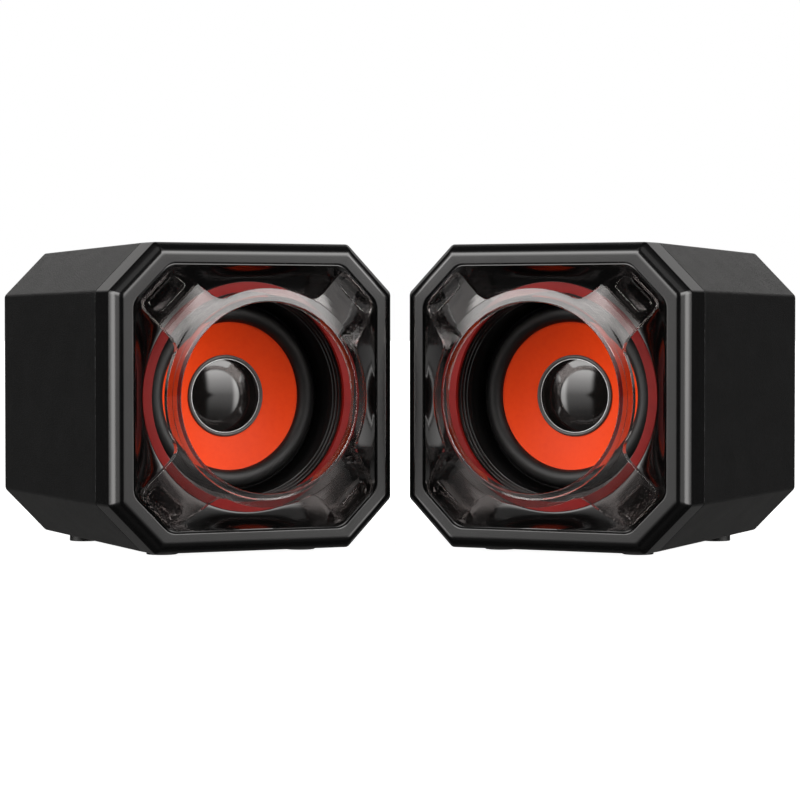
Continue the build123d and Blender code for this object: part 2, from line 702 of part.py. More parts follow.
SHARED_PIECES = {
    "cabinet_shell": cabinet_shell,
    "rear_panel_screws": rear_panel_screws,
    "feet": feet,
    "front_bezel": front_bezel,
    "baffle": baffle,
    "accent_ring": accent_ring,
    "clear_trim": clear_trim,
    "driver_gasket": driver_gasket,
    "driver_basket": driver_basket,
    "terminal_strip": terminal_strip,
    "driver_screws": driver_screws,
    "surround": surround,
    "cone": cone,
    "cone_collar": cone_collar,
    "dust_cap": dust_cap,
    "voice_coil_former": voice_coil_former,
    "voice_coil": voice_coil,
    "spider": spider,
    "top_plate": top_plate,
    "magnet": magnet,
    "pole_yoke": pole_yoke,
}


def satellite_pieces():
    return {
        "rear_panel": satellite_rear_panel(),
        "audio_in_jack": audio_socket(0),
        "jack_board": satellite_jack_board(),
    }


def active_pieces():
    return {
        "rear_panel": active_rear_panel(),
        "power_inlet": power_inlet(-SOCKET_PITCH),
        "audio_in_jack": audio_socket(0),
        "satellite_out_jack": audio_socket(SOCKET_PITCH),
        "volume_pot": volume_pot(),
        "volume_shaft": volume_shaft(),
        "volume_knob": volume_knob(),
        "amplifier_board": amplifier_board(),
        "board_screws": board_screws(),
        "capacitors": capacitors(),
        "heatsink": heatsink(),
    }


def placed(shape, side):
    """A piece of the left (-1) or right (+1) speaker stood on the desk and turned in."""
    reach = FACE_WIDTH / 2 * cos(radians(TOE_IN)) - SHOULDER_DEPTH * sin(radians(TOE_IN))
    stand = Pos(side * (PAIR_GAP / 2 + reach), 0, -FLOOR_Y) * Rot(0, 0, -side * TOE_IN)
    return stand * Rot(90, 0, 0) * shape


def main():
    os.makedirs("parts", exist_ok=True)
    shared = {name: make() for name, make in SHARED_PIECES.items()}
    pieces = {}
    for prefix, side, own in (("left", -1, satellite_pieces()), ("right", 1, active_pieces())):
        for name, shape in {**shared, **own}.items():
            pieces[f"{prefix}_{name}"] = placed(shape, side)
    boxes = [shape.bounding_box() for shape in pieces.values()]
    middle = (min(b.min.Y for b in boxes) + max(b.max.Y for b in boxes)) / 2
    for name, shape in pieces.items():
        export_step(Pos(0, -middle, 0) * shape, f"parts/{name}.step")
    print("nodes", len(pieces), "footprint middle at", round(middle, 4), "behind the faces' centres")


main()
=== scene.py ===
"""Looks of a pair of compact desktop speakers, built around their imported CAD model.

Every visible moulding is modelled here with edit-mode operators and laid over the CAD node that it
stands for, and the CAD nodes that stay get finishes. A piece is modelled once in a speaker's own
frame, in millimetres: X across, Y up, Z towards the listener, with the centre of the front rim's
plane as its origin. A "depth" is a distance behind that plane. Placement stands a copy of each piece
in the left and the right speaker.
"""

from __future__ import annotations

import json
import logging
import math
from dataclasses import dataclass, field, replace
from enum import Enum
from typing import Callable, Sequence

import bmesh
import bpy
from mathutils import Euler, Matrix, Vector
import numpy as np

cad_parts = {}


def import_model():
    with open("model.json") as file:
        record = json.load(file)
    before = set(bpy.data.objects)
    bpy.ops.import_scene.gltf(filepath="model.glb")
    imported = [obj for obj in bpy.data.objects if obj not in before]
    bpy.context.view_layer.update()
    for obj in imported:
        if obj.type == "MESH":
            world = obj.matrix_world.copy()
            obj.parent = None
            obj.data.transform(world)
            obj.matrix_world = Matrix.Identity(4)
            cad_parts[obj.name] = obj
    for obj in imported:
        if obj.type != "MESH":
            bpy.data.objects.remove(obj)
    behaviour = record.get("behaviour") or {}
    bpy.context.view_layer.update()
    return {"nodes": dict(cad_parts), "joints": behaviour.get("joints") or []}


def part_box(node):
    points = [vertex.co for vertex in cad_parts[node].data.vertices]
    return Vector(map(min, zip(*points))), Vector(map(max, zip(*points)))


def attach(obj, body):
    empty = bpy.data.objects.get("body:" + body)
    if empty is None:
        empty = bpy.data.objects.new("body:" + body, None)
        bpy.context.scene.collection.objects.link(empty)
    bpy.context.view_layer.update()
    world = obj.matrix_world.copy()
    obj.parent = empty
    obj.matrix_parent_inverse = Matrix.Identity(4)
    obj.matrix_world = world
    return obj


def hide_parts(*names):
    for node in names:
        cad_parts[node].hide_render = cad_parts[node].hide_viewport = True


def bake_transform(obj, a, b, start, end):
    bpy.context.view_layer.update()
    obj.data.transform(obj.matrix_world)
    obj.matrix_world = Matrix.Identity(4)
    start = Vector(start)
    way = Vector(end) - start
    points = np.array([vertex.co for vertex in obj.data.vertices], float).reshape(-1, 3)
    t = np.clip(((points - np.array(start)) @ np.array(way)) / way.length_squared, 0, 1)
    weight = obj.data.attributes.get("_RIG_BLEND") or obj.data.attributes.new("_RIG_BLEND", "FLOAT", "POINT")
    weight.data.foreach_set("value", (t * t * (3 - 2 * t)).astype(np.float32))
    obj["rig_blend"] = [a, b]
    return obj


LOG = logging.getLogger("speakers")
MM = 0.001
FULL_TURN = 2 * math.pi
DIAGONALS = tuple(math.radians(angle) for angle in (45, 135, 225, 315))
WHITE = (1.0, 1.0, 1.0, 1.0)
Color = tuple[float, float, float]
Point2 = tuple[float, float]


class Side(Enum):
    """The two speakers, named as the listener sees them."""

    LEFT = "left"
    RIGHT = "right"


# ---------------------------------------------------------------- placing


@dataclass(frozen=True)
class Placement:
    """Where one speaker stands: the matrix from its own frame to the pair's frame."""

    side: Side
    matrix: Matrix

    @classmethod
    def read(cls, side: Side, joints: Sequence[dict], ring_centre_depth: float) -> "Placement":
        """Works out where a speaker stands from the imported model.

        Args:
            side: Which speaker.
            joints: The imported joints; the cone's travel gives the way the speaker faces.
            ring_centre_depth: Depth of the middle of the accent ring, in millimetres.

        Returns:
            The placement.
        """
        travel = next(j for j in joints if j["name"] == f"{side.value}_cone_travel")
        facing = Vector(travel["axis"]).normalized()
        up = Vector((0, 0, 1))
        low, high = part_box(f"{side.value}_accent_ring")
        origin = (low + high) / 2 + facing * ring_centre_depth * MM
        turn = Matrix((up.cross(facing), up, facing)).transposed().to_4x4()
        return cls(side, Matrix.Translation(origin) @ turn)

    @property
    def body(self) -> str:
        """Name of the CAD body of this speaker's cabinet."""
        return f"{self.side.value}_speaker"

    @property
    def cone_body(self) -> str:
        """Name of the CAD body that moves with the voice coil."""
        return f"{self.side.value}_cone_assembly"

    def node(self, name: str) -> str:
        """Full name of one of this speaker's CAD nodes."""
        return f"{self.side.value}_{name}"

    def point(self, x: float, y: float, depth: float) -> Vector:
        """A point of the speaker's own frame, in millimetres, in the pair's frame in metres."""
        return self.matrix @ Vector((x * MM, y * MM, -depth * MM))


# ---------------------------------------------------------------- modelling


@dataclass(frozen=True)
class Outline:
    """An octagon with 45 degree corners, which can be eased towards a circle, at one depth."""

    width: float
    height: float
    cut: float
    rounding: float
    depth: float
    roundness: float = 0.0
    radius: float | None = None

    def inset(self, by: float, depth: float, rounding: float | None = None) -> "Outline":
        """The same outline moved in on every side, at another depth."""
        cut = self.cut - by * (2 - math.sqrt(2))
        eased = self.rounding if rounding is None else rounding
        return Outline(self.width - 2 * by, self.height - 2 * by, cut, eased, depth)

    def circle(self, radius: float, depth: float) -> "Outline":
        """A circle whose points stand at the same angles as this outline's."""
        return Outline(self.width, self.height, self.cut, self.rounding, depth, 1.0, radius)


class Workbench:
    """Shapes one mesh at a time with edit-mode operators, in a speaker's own frame."""

    CORNER_STEPS = 5
    SIDE_CUTS = 16
    CORNER_CUTS = 6
    LONG_EDGE = 30.0
    CORNER_SHARE = 0.8
    MERGE = 0.002
    HAIR = 0.02

    def begin(self, name: str) -> bpy.types.Object:
        """Starts a piece as a small plane in edit mode, all selected."""
        if bpy.context.object is not None and bpy.context.object.mode != "OBJECT":
            bpy.ops.object.mode_set(mode="OBJECT")
        bpy.ops.object.select_all(action="DESELECT")
        bpy.ops.mesh.primitive_plane_add(size=MM, location=(0, 0, 0))
        piece = bpy.context.object
        piece.name = name
        piece.data.name = name
        bpy.ops.object.mode_set(mode="EDIT")
        bpy.ops.mesh.select_mode(type="VERT")
        return piece

    def start_empty(self, name: str) -> bpy.types.Object:
        """Starts a piece and clears the plane, so that shapes can be added to it."""
        piece = self.begin(name)
        bpy.ops.mesh.select_all(action="SELECT")
        bpy.ops.mesh.delete(type="VERT")
        shape = bmesh.from_edit_mesh(piece.data)
        shape.verts.layers.int.new("ring")
        bmesh.update_edit_mesh(piece.data)
        return piece

    def trace(self, points: Sequence[Point2]) -> None:
        """Draws a chain of edges through (radius, depth) points with the extrude operator."""
        bpy.ops.mesh.select_all(action="SELECT")
        bpy.ops.mesh.merge(type="CENTER")
        bpy.ops.mesh.select_all(action="SELECT")
        first = points[0]
        bpy.ops.transform.translate(value=(first[0] * MM, 0, -first[1] * MM))
        for before, after in zip(points, points[1:]):
            step = ((after[0] - before[0]) * MM, 0, -(after[1] - before[1]) * MM)
            bpy.ops.mesh.extrude_vertices_move(TRANSFORM_OT_translate={"value": step})

    def turn(self, name: str, points: Sequence[Point2], steps: int, closed: bool = True,
             smooth: float = 40.0) -> bpy.types.Object:
        """Turns a profile about the speaker's axis.

        Args:
            name: Name of the piece.
            points: The profile as (radius, depth) points, in millimetres.
            steps: Number of steps round the axis.
            closed: Whether the profile closes on itself.
            smooth: Edges flatter than this many degrees shade smoothly.

        Returns:
            The finished piece.
        """
        piece = self.begin(name)
        self.trace([*points, points[0]] if closed else points)
        bpy.ops.mesh.select_all(action="SELECT")
        bpy.ops.mesh.spin(steps=steps, angle=FULL_TURN, center=(0, 0, 0), axis=(0, 0, 1))
        return self.finish(piece, smooth)

    def add_loop(self, outline: Outline) -> int:
        """Adds one outline as a loop of edges to the mesh in edit mode.

        Args:
            outline: The outline to draw.

        Returns:
            The number that its vertices carry in the ring layer.
        """
        mesh = bpy.context.object.data
        centre = (0, 0, -outline.depth * MM)
        bpy.ops.mesh.select_mode(type="VERT")
        bpy.ops.mesh.select_all(action="DESELECT")
        bpy.ops.mesh.primitive_plane_add(size=1, location=centre)
        size = (outline.width * MM, outline.height * MM, 1)
        bpy.ops.transform.resize(value=size, center_override=centre)
        bpy.ops.mesh.bevel(offset=outline.cut * MM, segments=1, affect="VERTICES")
        tangent = outline.rounding * math.tan(math.radians(22.5))
        bpy.ops.mesh.bevel(offset=tangent * MM, segments=self.CORNER_STEPS, affect="VERTICES")
        bpy.ops.mesh.delete(type="ONLY_FACE")
        self._cut_sides(self.LONG_EDGE, self.SIDE_CUTS)
        self._cut_sides(outline.cut * self.CORNER_SHARE, self.CORNER_CUTS)
        radius = self.select_new()
        if outline.roundness:
            bpy.ops.transform.tosphere(value=outline.roundness, center_override=centre)
            radius = self.select_new()
        if outline.radius is not None:
            factor = outline.radius / radius
            bpy.ops.transform.resize(value=(factor, factor, 1), center_override=centre)
        shape = bmesh.from_edit_mesh(mesh)
        layer = shape.verts.layers.int["ring"]
        number = 1 + max(v[layer] for v in shape.verts)
        for vertex in shape.verts:
            if vertex[layer] == 0:
                vertex[layer] = number
        bmesh.update_edit_mesh(mesh)
        return number

    @staticmethod
    def ring_radius() -> float:
        """Mean distance of all the mesh's vertices from the speaker's axis, in millimetres."""
        shape = bmesh.from_edit_mesh(bpy.context.object.data)
        return sum(v.co.xy.length for v in shape.verts) / len(shape.verts) / MM

    @staticmethod
    def choose(kind: str, test: Callable[[object, object], bool]) -> None:
        """Selects only the elements of the open mesh that pass a test.

        Args:
            kind: "verts", "edges" or "faces".
            test: Takes an element and the layer of ring numbers.
        """
        bpy.ops.mesh.select_mode(type={"verts": "VERT", "edges": "EDGE", "faces": "FACE"}[kind])
        bpy.ops.mesh.select_all(action="DESELECT")
        mesh = bpy.context.object.data
        shape = bmesh.from_edit_mesh(mesh)
        layer = shape.verts.layers.int.get("ring")
        for element in getattr(shape, kind):
            if test(element, layer):
                element.select_set(True)
        if kind == "verts":
            shape.select_flush(True)
        bmesh.update_edit_mesh(mesh)

    def select_new(self) -> float:
        """Selects the vertices with no ring number; their mean distance from the axis in millimetres."""
        self.choose("verts", lambda vertex, layer: vertex[layer] == 0)
        shape = bmesh.from_edit_mesh(bpy.context.object.data)
        radii = [v.co.xy.length for v in shape.verts if v.select]
        return sum(radii) / len(radii) / MM

    def _cut_sides(self, longer_than: float, cuts: int) -> None:
        """Subdivides the edges of the new loop that are longer than a length in millimetres."""
        def long_and_new(edge: bmesh.types.BMEdge, layer: object) -> bool:
            """Whether an edge is long and belongs to no numbered ring."""
            return edge.calc_length() > longer_than * MM and not any(v[layer] for v in edge.verts)

        self.choose("edges", long_and_new)
        bpy.ops.mesh.subdivide(number_cuts=cuts)

    def skin(self, name: str, outlines: Sequence[Outline], smooth: float = 32.0) -> bpy.types.Object:
        """Bridges a ring of outlines, the last one back to the first, into a closed moulding.

        Args:
            name: Name of the piece.
            outlines: The outlines in order round the moulding's section.
            smooth: Edges flatter than this many degrees shade smoothly.

        Returns:
            The finished piece.
        """
        piece = self.start_empty(name)
        numbers = [self.add_loop(outline) for outline in self.spread(outlines)]
        for first, second in zip(numbers, numbers[1:] + numbers[:1]):
            self._select_rings(first, second)
            bpy.ops.mesh.bridge_edge_loops()
        return self.finish(piece, smooth)

    def spread(self, outlines: Sequence[Outline]) -> list[Outline]:
        """Sets outlines a hair apart where neighbours share a depth, because such loops bridge badly.

        Args:
            outlines: The outlines in order.

        Returns:
            The same outlines, no two neighbours at one depth.
        """
        spaced = [outlines[0]]
        for outline in outlines[1:]:
            taken = (spaced[-1].depth, outlines[0].depth if outline is outlines[-1] else None)
            depth = outline.depth
            while any(near is not None and abs(depth - near) < self.HAIR / 2 for near in taken):
                depth += self.HAIR
            spaced.append(replace(outline, depth=depth))
        return spaced

    def _select_rings(self, *rings: int) -> None:
        """Selects the edges of the loops that carry some ring numbers."""
        def on_ring(edge: bmesh.types.BMEdge, layer: object) -> bool:
            """Whether both ends of an edge carry the same wanted number."""
            a, b = (v[layer] for v in edge.verts)
            return a == b and a in rings

        self.choose("edges", on_ring)

    def finish(self, piece: bpy.types.Object, smooth: float = 32.0) -> bpy.types.Object:
        """Merges doubles, points the faces outwards and sets the shading of the piece."""
        bpy.ops.mesh.select_mode(type="VERT")
        bpy.ops.mesh.select_all(action="SELECT")
        bpy.ops.mesh.remove_doubles(threshold=self.MERGE * MM)
        bpy.ops.mesh.delete_loose()
        bpy.ops.mesh.select_all(action="SELECT")
        bpy.ops.mesh.normals_make_consistent(inside=False)
        bpy.ops.object.mode_set(mode="OBJECT")
        self.shade(piece, smooth)
        return piece

    def shade(self, piece: bpy.types.Object, smooth: float) -> None:
        """Shades a piece smoothly below an angle, with normals that follow its larger faces."""
        self.pick(piece)
        bpy.ops.object.shade_smooth_by_angle(angle=math.radians(smooth))
        weighted = piece.modifiers.new("weighted", "WEIGHTED_NORMAL")
        weighted.keep_sharp = True
        bpy.ops.object.modifier_apply(modifier=weighted.name)

    @staticmethod
    def pick(piece: bpy.types.Object) -> None:
        """Makes a piece the only selected one and the active one."""
        bpy.ops.object.select_all(action="DESELECT")
        piece.select_set(True)
        bpy.context.view_layer.objects.active = piece

    def bevel(self, piece: bpy.types.Object, width: float, segments: int, angle: float = 35.0) -> None:
        """Rounds a piece's sharp edges with a bevel, and applies it."""
        self.pick(piece)
        modifier = piece.modifiers.new("edges", "BEVEL")
        modifier.width = width * MM
        modifier.segments = segments
        modifier.limit_method = "ANGLE"
        modifier.angle_limit = math.radians(angle)
        modifier.use_clamp_overlap = True
        bpy.ops.object.modifier_apply(modifier=modifier.name)

    def combine(self, piece: bpy.types.Object, other: bpy.types.Object, how: str) -> None:
        """Joins another piece into this one, or cuts it away, and removes the other."""
        self.pick(piece)
        modifier = piece.modifiers.new("combine", "BOOLEAN")
        modifier.operation = how
        modifier.solver = "EXACT"
        modifier.object = other
        bpy.ops.object.modifier_apply(modifier=modifier.name)
        bpy.data.objects.remove(other)

    def box(self, name: str, low: Sequence[float], high: Sequence[float]) -> bpy.types.Object:
        """A block between two corners given as (x, y, depth), left in object mode."""
        piece = self.start_empty(name)
        centre = [(a + b) / 2 * MM for a, b in zip(low, high)]
        centre[2] = -centre[2]
        size = [abs(b - a) * MM for a, b in zip(low, high)]
        bpy.ops.mesh.primitive_cube_add(size=1, location=centre)
        bpy.ops.transform.resize(value=size, center_override=centre)
        bpy.ops.object.mode_set(mode="OBJECT")
        return piece

    def stand(self, piece: bpy.types.Object, name: str, matrix: Matrix) -> bpy.types.Object:
        """A copy of a piece with its own mesh, with a place applied to it."""
        self.pick(piece)
        bpy.ops.object.duplicate(linked=False)
        copy = bpy.context.object
        copy.name = name
        copy.data.name = name
        copy.matrix_world = matrix
        bpy.ops.object.transform_apply(location=True, rotation=True, scale=True)
        return copy

    def join(self, name: str, pieces: Sequence[bpy.types.Object]) -> bpy.types.Object:
        """Joins pieces into one object of separate shells."""
        self.pick(pieces[0])
        for piece in pieces[1:]:
            piece.select_set(True)
        bpy.ops.object.join()
        pieces[0].name = name
        pieces[0].data.name = name
        return pieces[0]


def arc(centre: Point2, radii: Point2, start: float, end: float, steps: int) -> list[Point2]:
    """Points on an ellipse's arc in a profile.

    Args:
        centre: Its centre as (radius, depth).
        radii: Its half-lengths along the radius and the depth.
        start: First angle in degrees; 0 points outwards and 90 towards the listener.
        end: Last angle in degrees.
        steps: Number of spans between the points.

    Returns:
        The points, both ends included.
    """
    points = []
    for i in range(steps + 1):
        angle = math.radians(start + (end - start) * i / steps)
        points.append((centre[0] + radii[0] * math.cos(angle), centre[1] - radii[1] * math.sin(angle)))
    return points


# ---------------------------------------------------------------- shader tools


class Signal:
    """A shader socket that Python's arithmetic works on; each operator adds one Math node."""

    def __init__(self, paint: "NodePaint", socket: bpy.types.NodeSocket) -> None:
        """Wraps a node's output socket."""
        self.paint = paint
        self.socket = socket

    def _math(self, operation: str, first: object, second: object = 0.0) -> "Signal":
        """One Math node on this signal's tree."""
        return self.paint.node("ShaderNodeMath", {"operation": operation}, {0: first, 1: second})

    def __add__(self, other: object) -> "Signal":
        """self + other."""
        return self._math("ADD", self, other)

    def __radd__(self, other: object) -> "Signal":
        """other + self."""
        return self._math("ADD", other, self)

    def __sub__(self, other: object) -> "Signal":
        """self - other."""
        return self._math("SUBTRACT", self, other)

    def __rsub__(self, other: object) -> "Signal":
        """other - self."""
        return self._math("SUBTRACT", other, self)

    def __mul__(self, other: object) -> "Signal":
        """self * other."""
        return self._math("MULTIPLY", self, other)

    def __truediv__(self, other: object) -> "Signal":
        """self / other."""
        return self._math("DIVIDE", self, other)

    def __pow__(self, other: object) -> "Signal":
        """self ** other."""
        return self._math("POWER", self, other)

    def at_least(self, other: object) -> "Signal":
        """The larger of this signal and another."""
        return self._math("MAXIMUM", self, other)

    def size(self) -> "Signal":
        """This signal without its sign."""
        return self._math("ABSOLUTE", self)

    def bearing(self, other: "Signal") -> "Signal":
        """The angle in degrees whose tangent is this signal over another."""
        return self._math("ARCTAN2", self, other) * math.degrees(1)

    def elevation(self) -> "Signal":
        """The angle in degrees whose sine is this signal."""
        return self._math("ARCSINE", self) * math.degrees(1)

    def wave(self) -> "Signal":
        """The sine of this signal, in radians."""
        return self._math("SINE", self)

    def step(self, low: float, high: float) -> "Signal":
        """Rises smoothly from 0 to 1 as this signal goes from low to high."""
        settings = {"interpolation_type": "SMOOTHSTEP"}
        return self.paint.node("ShaderNodeMapRange", settings, {0: self, 1: low, 2: high})


class NodePaint:
    """Builds the node tree of one material or world."""

    def __init__(self, owner: bpy.types.Material | bpy.types.World) -> None:
        """Clears the owner's node tree for new nodes."""
        owner.use_nodes = True
        self.tree = owner.node_tree
        self.tree.nodes.clear()

    def node(self, kind: str, settings: dict | None = None, inputs: dict | None = None,
             output: int | str = 0) -> Signal | None:
        """Adds one node of any type.

        Args:
            kind: The node's type name.
            settings: Its properties, and "stops" for a colour ramp's (position, colour) pairs.
            inputs: A value or a Signal for each socket, by name or index.
            output: The output socket to return.

        Returns:
            The chosen output as a Signal, or None for a node with no output.
        """
        made = self.tree.nodes.new(kind)
        for key, value in (settings or {}).items():
            if key == "stops":
                self._set_stops(made.color_ramp, value)
            else:
                setattr(made, key, value)
        for key, value in (inputs or {}).items():
            if isinstance(value, Signal):
                self.tree.links.new(value.socket, made.inputs[key])
            else:
                made.inputs[key].default_value = value
        return Signal(self, made.outputs[output]) if made.outputs else None

    @staticmethod
    def _set_stops(ramp: bpy.types.ColorRamp, stops: Sequence[tuple[float, Color]]) -> None:
        """Sets a colour ramp's stops."""
        while len(ramp.elements) < len(stops):
            ramp.elements.new(0.5)
        for element, (position, color) in zip(ramp.elements, stops):
            element.position = position
            element.color = (*color, 1.0)

    def blend(self, factor: object, first: object, second: object) -> Signal:
        """A colour between two colours."""
        first, second = (c if isinstance(c, Signal) else (*c, 1.0) for c in (first, second))
        inputs = {0: factor, 6: first, 7: second}
        return self.node("ShaderNodeMix", {"data_type": "RGBA"}, inputs, 2)

    def noise(self, at: Signal, size: float, detail: float = 3.0, rough: float = 0.55) -> Signal:
        """Fractal noise with features of about a size in millimetres."""
        inputs = {"Vector": at, "Scale": 1 / (size * MM), "Detail": detail, "Roughness": rough}
        return self.node("ShaderNodeTexNoise", {}, inputs)

    def cells(self, at: Signal, size: float, feature: str = "F1") -> Signal:
        """Distance in a cell pattern with cells of a size in millimetres."""
        settings = {"feature": feature}
        inputs = {"Vector": at, "Scale": 1 / (size * MM)}
        return self.node("ShaderNodeTexVoronoi", settings, inputs)

    def place(self, placement: Placement | None) -> Signal:
        """Object coordinates, turned into a speaker's own frame if a placement is given."""
        at = self.node("ShaderNodeTexCoord", output="Object")
        if placement is None:
            return at
        origin, turn, _ = placement.matrix.decompose()
        inputs = {"Vector": at, "Location": origin, "Rotation": turn.to_euler()}
        return self.node("ShaderNodeMapping", {"vector_type": "TEXTURE"}, inputs)

    def parts(self, at: Signal) -> tuple[Signal, Signal, Signal]:
        """The three components of a vector."""
        split = self.node("ShaderNodeSeparateXYZ", {}, {"Vector": at})
        outputs = split.socket.node.outputs
        return tuple(Signal(self, outputs[i]) for i in range(3))

    def radius(self, at: Signal) -> Signal:
        """Distance from the speaker's axis, in millimetres."""
        x, y, _ = self.parts(at)
        return ((x * x + y * y) ** 0.5) / MM


class Relief(Enum):
    """The fine relief that a finish carries."""

    NONE = "none"
    LEATHER = "leather"
    SPARK = "spark"
    PEEL = "peel"
    FIBRE = "fibre"
    GROOVES = "grooves"
    WEAVE = "weave"
    WINDING = "winding"
    BRUSHED = "brushed"


@dataclass(frozen=True)
class Finish:
    """A surface finish with colour variation, uneven gloss and a fine relief.

    Sizes are in millimetres; relief_depth is the height of the relief. Some finishes also paint shade into
    the relief's hollows.
    """

    slot: str
    color: Color
    tint: Color
    roughness: float
    mottle: float = 6.0
    mottle_amount: float = 0.6
    gloss_spread: float = 0.06
    metallic: float = 0.0
    specular: float = 0.5
    sheen: float = 0.0
    relief: Relief = Relief.NONE
    relief_size: float = 0.5
    relief_depth: float = 0.02
    # How strongly painted shade darkens the relief's hollows.
    painted_hollow_shade: float = 0.0
    local: bool = False

    def build(self, placement: Placement | None = None) -> bpy.types.Material:
        """Makes the material.

        Args:
            placement: The speaker that the pattern follows, for a finish with a local pattern.

        Returns:
            The material, ready to be put on a piece.
        """
        name = f"{self.slot}_finish" + (f"_{placement.side.value}" if placement else "")
        found = bpy.data.materials.get(name)
        if found is not None:
            return found
        material = bpy.data.materials.new(name)
        paint = NodePaint(material)
        at = paint.place(placement)
        surface = self.surface(paint, at)
        paint.node("ShaderNodeOutputMaterial", {}, {"Surface": surface})
        return material

    def surface(self, paint: NodePaint, at: Signal) -> Signal:
        """The principled surface with this finish's variation."""
        inputs = {
            "Base Color": self.base_color(paint, at),
            "Roughness": self.gloss(paint, at),
            "Metallic": self.metallic,
            "Specular IOR Level": self.specular,
            "Sheen Weight": self.sheen,
        }
        if self.relief is not Relief.NONE:
            height = self.height(paint, at)
            bump = {"Height": height, "Distance": self.relief_depth * MM, "Strength": 1.0}
            inputs["Normal"] = paint.node("ShaderNodeBump", {}, bump)
        return paint.node("ShaderNodeBsdfPrincipled", {}, inputs)

    def base_color(self, paint: NodePaint, at: Signal) -> Signal:
        """The base colour, mottled towards the tint, with painted shade that darkens the relief's hollows.
        """
        patches = paint.noise(at, self.mottle, 4.0).step(0.35, 0.75) * self.mottle_amount
        color = paint.blend(patches, self.color, self.tint)
        if not self.painted_hollow_shade or self.relief is Relief.NONE:
            return color
        # Painted shade: the relief's hollows are darkened towards 0.35 of the colour, standing in for the
        # shade that falls in them.
        hollow = (1 - self.height(paint, at).step(0.1, 0.7)) * self.painted_hollow_shade
        return paint.blend(hollow, color, tuple(c * 0.35 for c in self.color))

    def gloss(self, paint: NodePaint, at: Signal) -> Signal:
        """The roughness, uneven as handling and moulding leave it."""
        smudge = paint.noise(at, self.mottle * 1.7, 5.0, 0.65) - 0.5
        fine = paint.noise(at, 0.6, 2.0) - 0.5
        return self.roughness + smudge * self.gloss_spread * 2 + fine * self.gloss_spread * 0.5

    def height(self, paint: NodePaint, at: Signal) -> Signal:
        """The relief as a height from 0 to 1."""
        size = self.relief_size
        if self.relief is Relief.LEATHER:
            creases = paint.cells(at, size, "DISTANCE_TO_EDGE").step(0.0, 0.28)
            return creases * 0.75 + paint.noise(at, size * 0.4) * 0.25
        if self.relief is Relief.SPARK:
            return paint.noise(at, size, 2.0) * 0.7 + paint.cells(at, size * 0.8) * 0.3
        if self.relief is Relief.PEEL:
            return paint.noise(at, size, 1.0, 0.4)
        if self.relief is Relief.FIBRE:
            return paint.noise(at, size, 5.0, 0.7) * 0.6 + paint.noise(at, size * 4, 3.0) * 0.4
        if self.relief is Relief.GROOVES:
            radius = paint.radius(at)
            return (radius * (FULL_TURN / size)).wave() * 0.4 + 0.5 + paint.noise(at, size) * 0.1
        if self.relief is Relief.WINDING:
            _, _, along = paint.parts(at)
            return (along * (FULL_TURN / (size * MM))).wave() * 0.5 + 0.5
        if self.relief is Relief.WEAVE:
            x, y, _ = paint.parts(at)
            pitch = FULL_TURN / (size * MM)
            return (x * pitch).wave() * (y * pitch).wave() * 0.5 + 0.5
        stretch = {"Vector": at, "Scale": (1.0, 14.0, 1.0)}
        drawn = paint.node("ShaderNodeMapping", {}, stretch)
        return paint.noise(drawn, size * 6, 2.0)

    def dress(self, piece: bpy.types.Object, placement: Placement | None = None) -> None:
        """Puts this finish on a piece as its only material."""
        material = self.build(placement if self.local else None)
        piece.data.materials.clear()
        piece.data.materials.append(material)


@dataclass(frozen=True)
class ClearFinish(Finish):
    """Smoke-tinted clear plastic whose shadow is a tinted one.

    It bends light little, as the thin walls of a moulding do, and its coat reflects as acrylic does.
    """

    ior: float = 1.14
    coat: float = 1.0
    coat_roughness: float = 0.02
    coat_ior: float = 1.49

    def surface(self, paint: NodePaint, at: Signal) -> Signal:
        """Clear plastic that passes light to what lies behind it."""
        inputs = {
            "Base Color": self.base_color(paint, at),
            "Roughness": self.gloss(paint, at).at_least(0.0),
            "Transmission Weight": 1.0,
            "IOR": self.ior,
            "Specular IOR Level": self.specular,
            "Coat Weight": self.coat,
            "Coat Roughness": self.coat_roughness,
            "Coat IOR": self.coat_ior,
        }
        clear = paint.node("ShaderNodeBsdfPrincipled", {}, inputs)
        passing = paint.node("ShaderNodeBsdfTransparent", {}, {"Color": (*self.tint, 1.0)})
        shadow = paint.node("ShaderNodeLightPath", output="Is Shadow Ray")
        return paint.node("ShaderNodeMixShader", {}, {0: shadow, 1: clear, 2: passing})


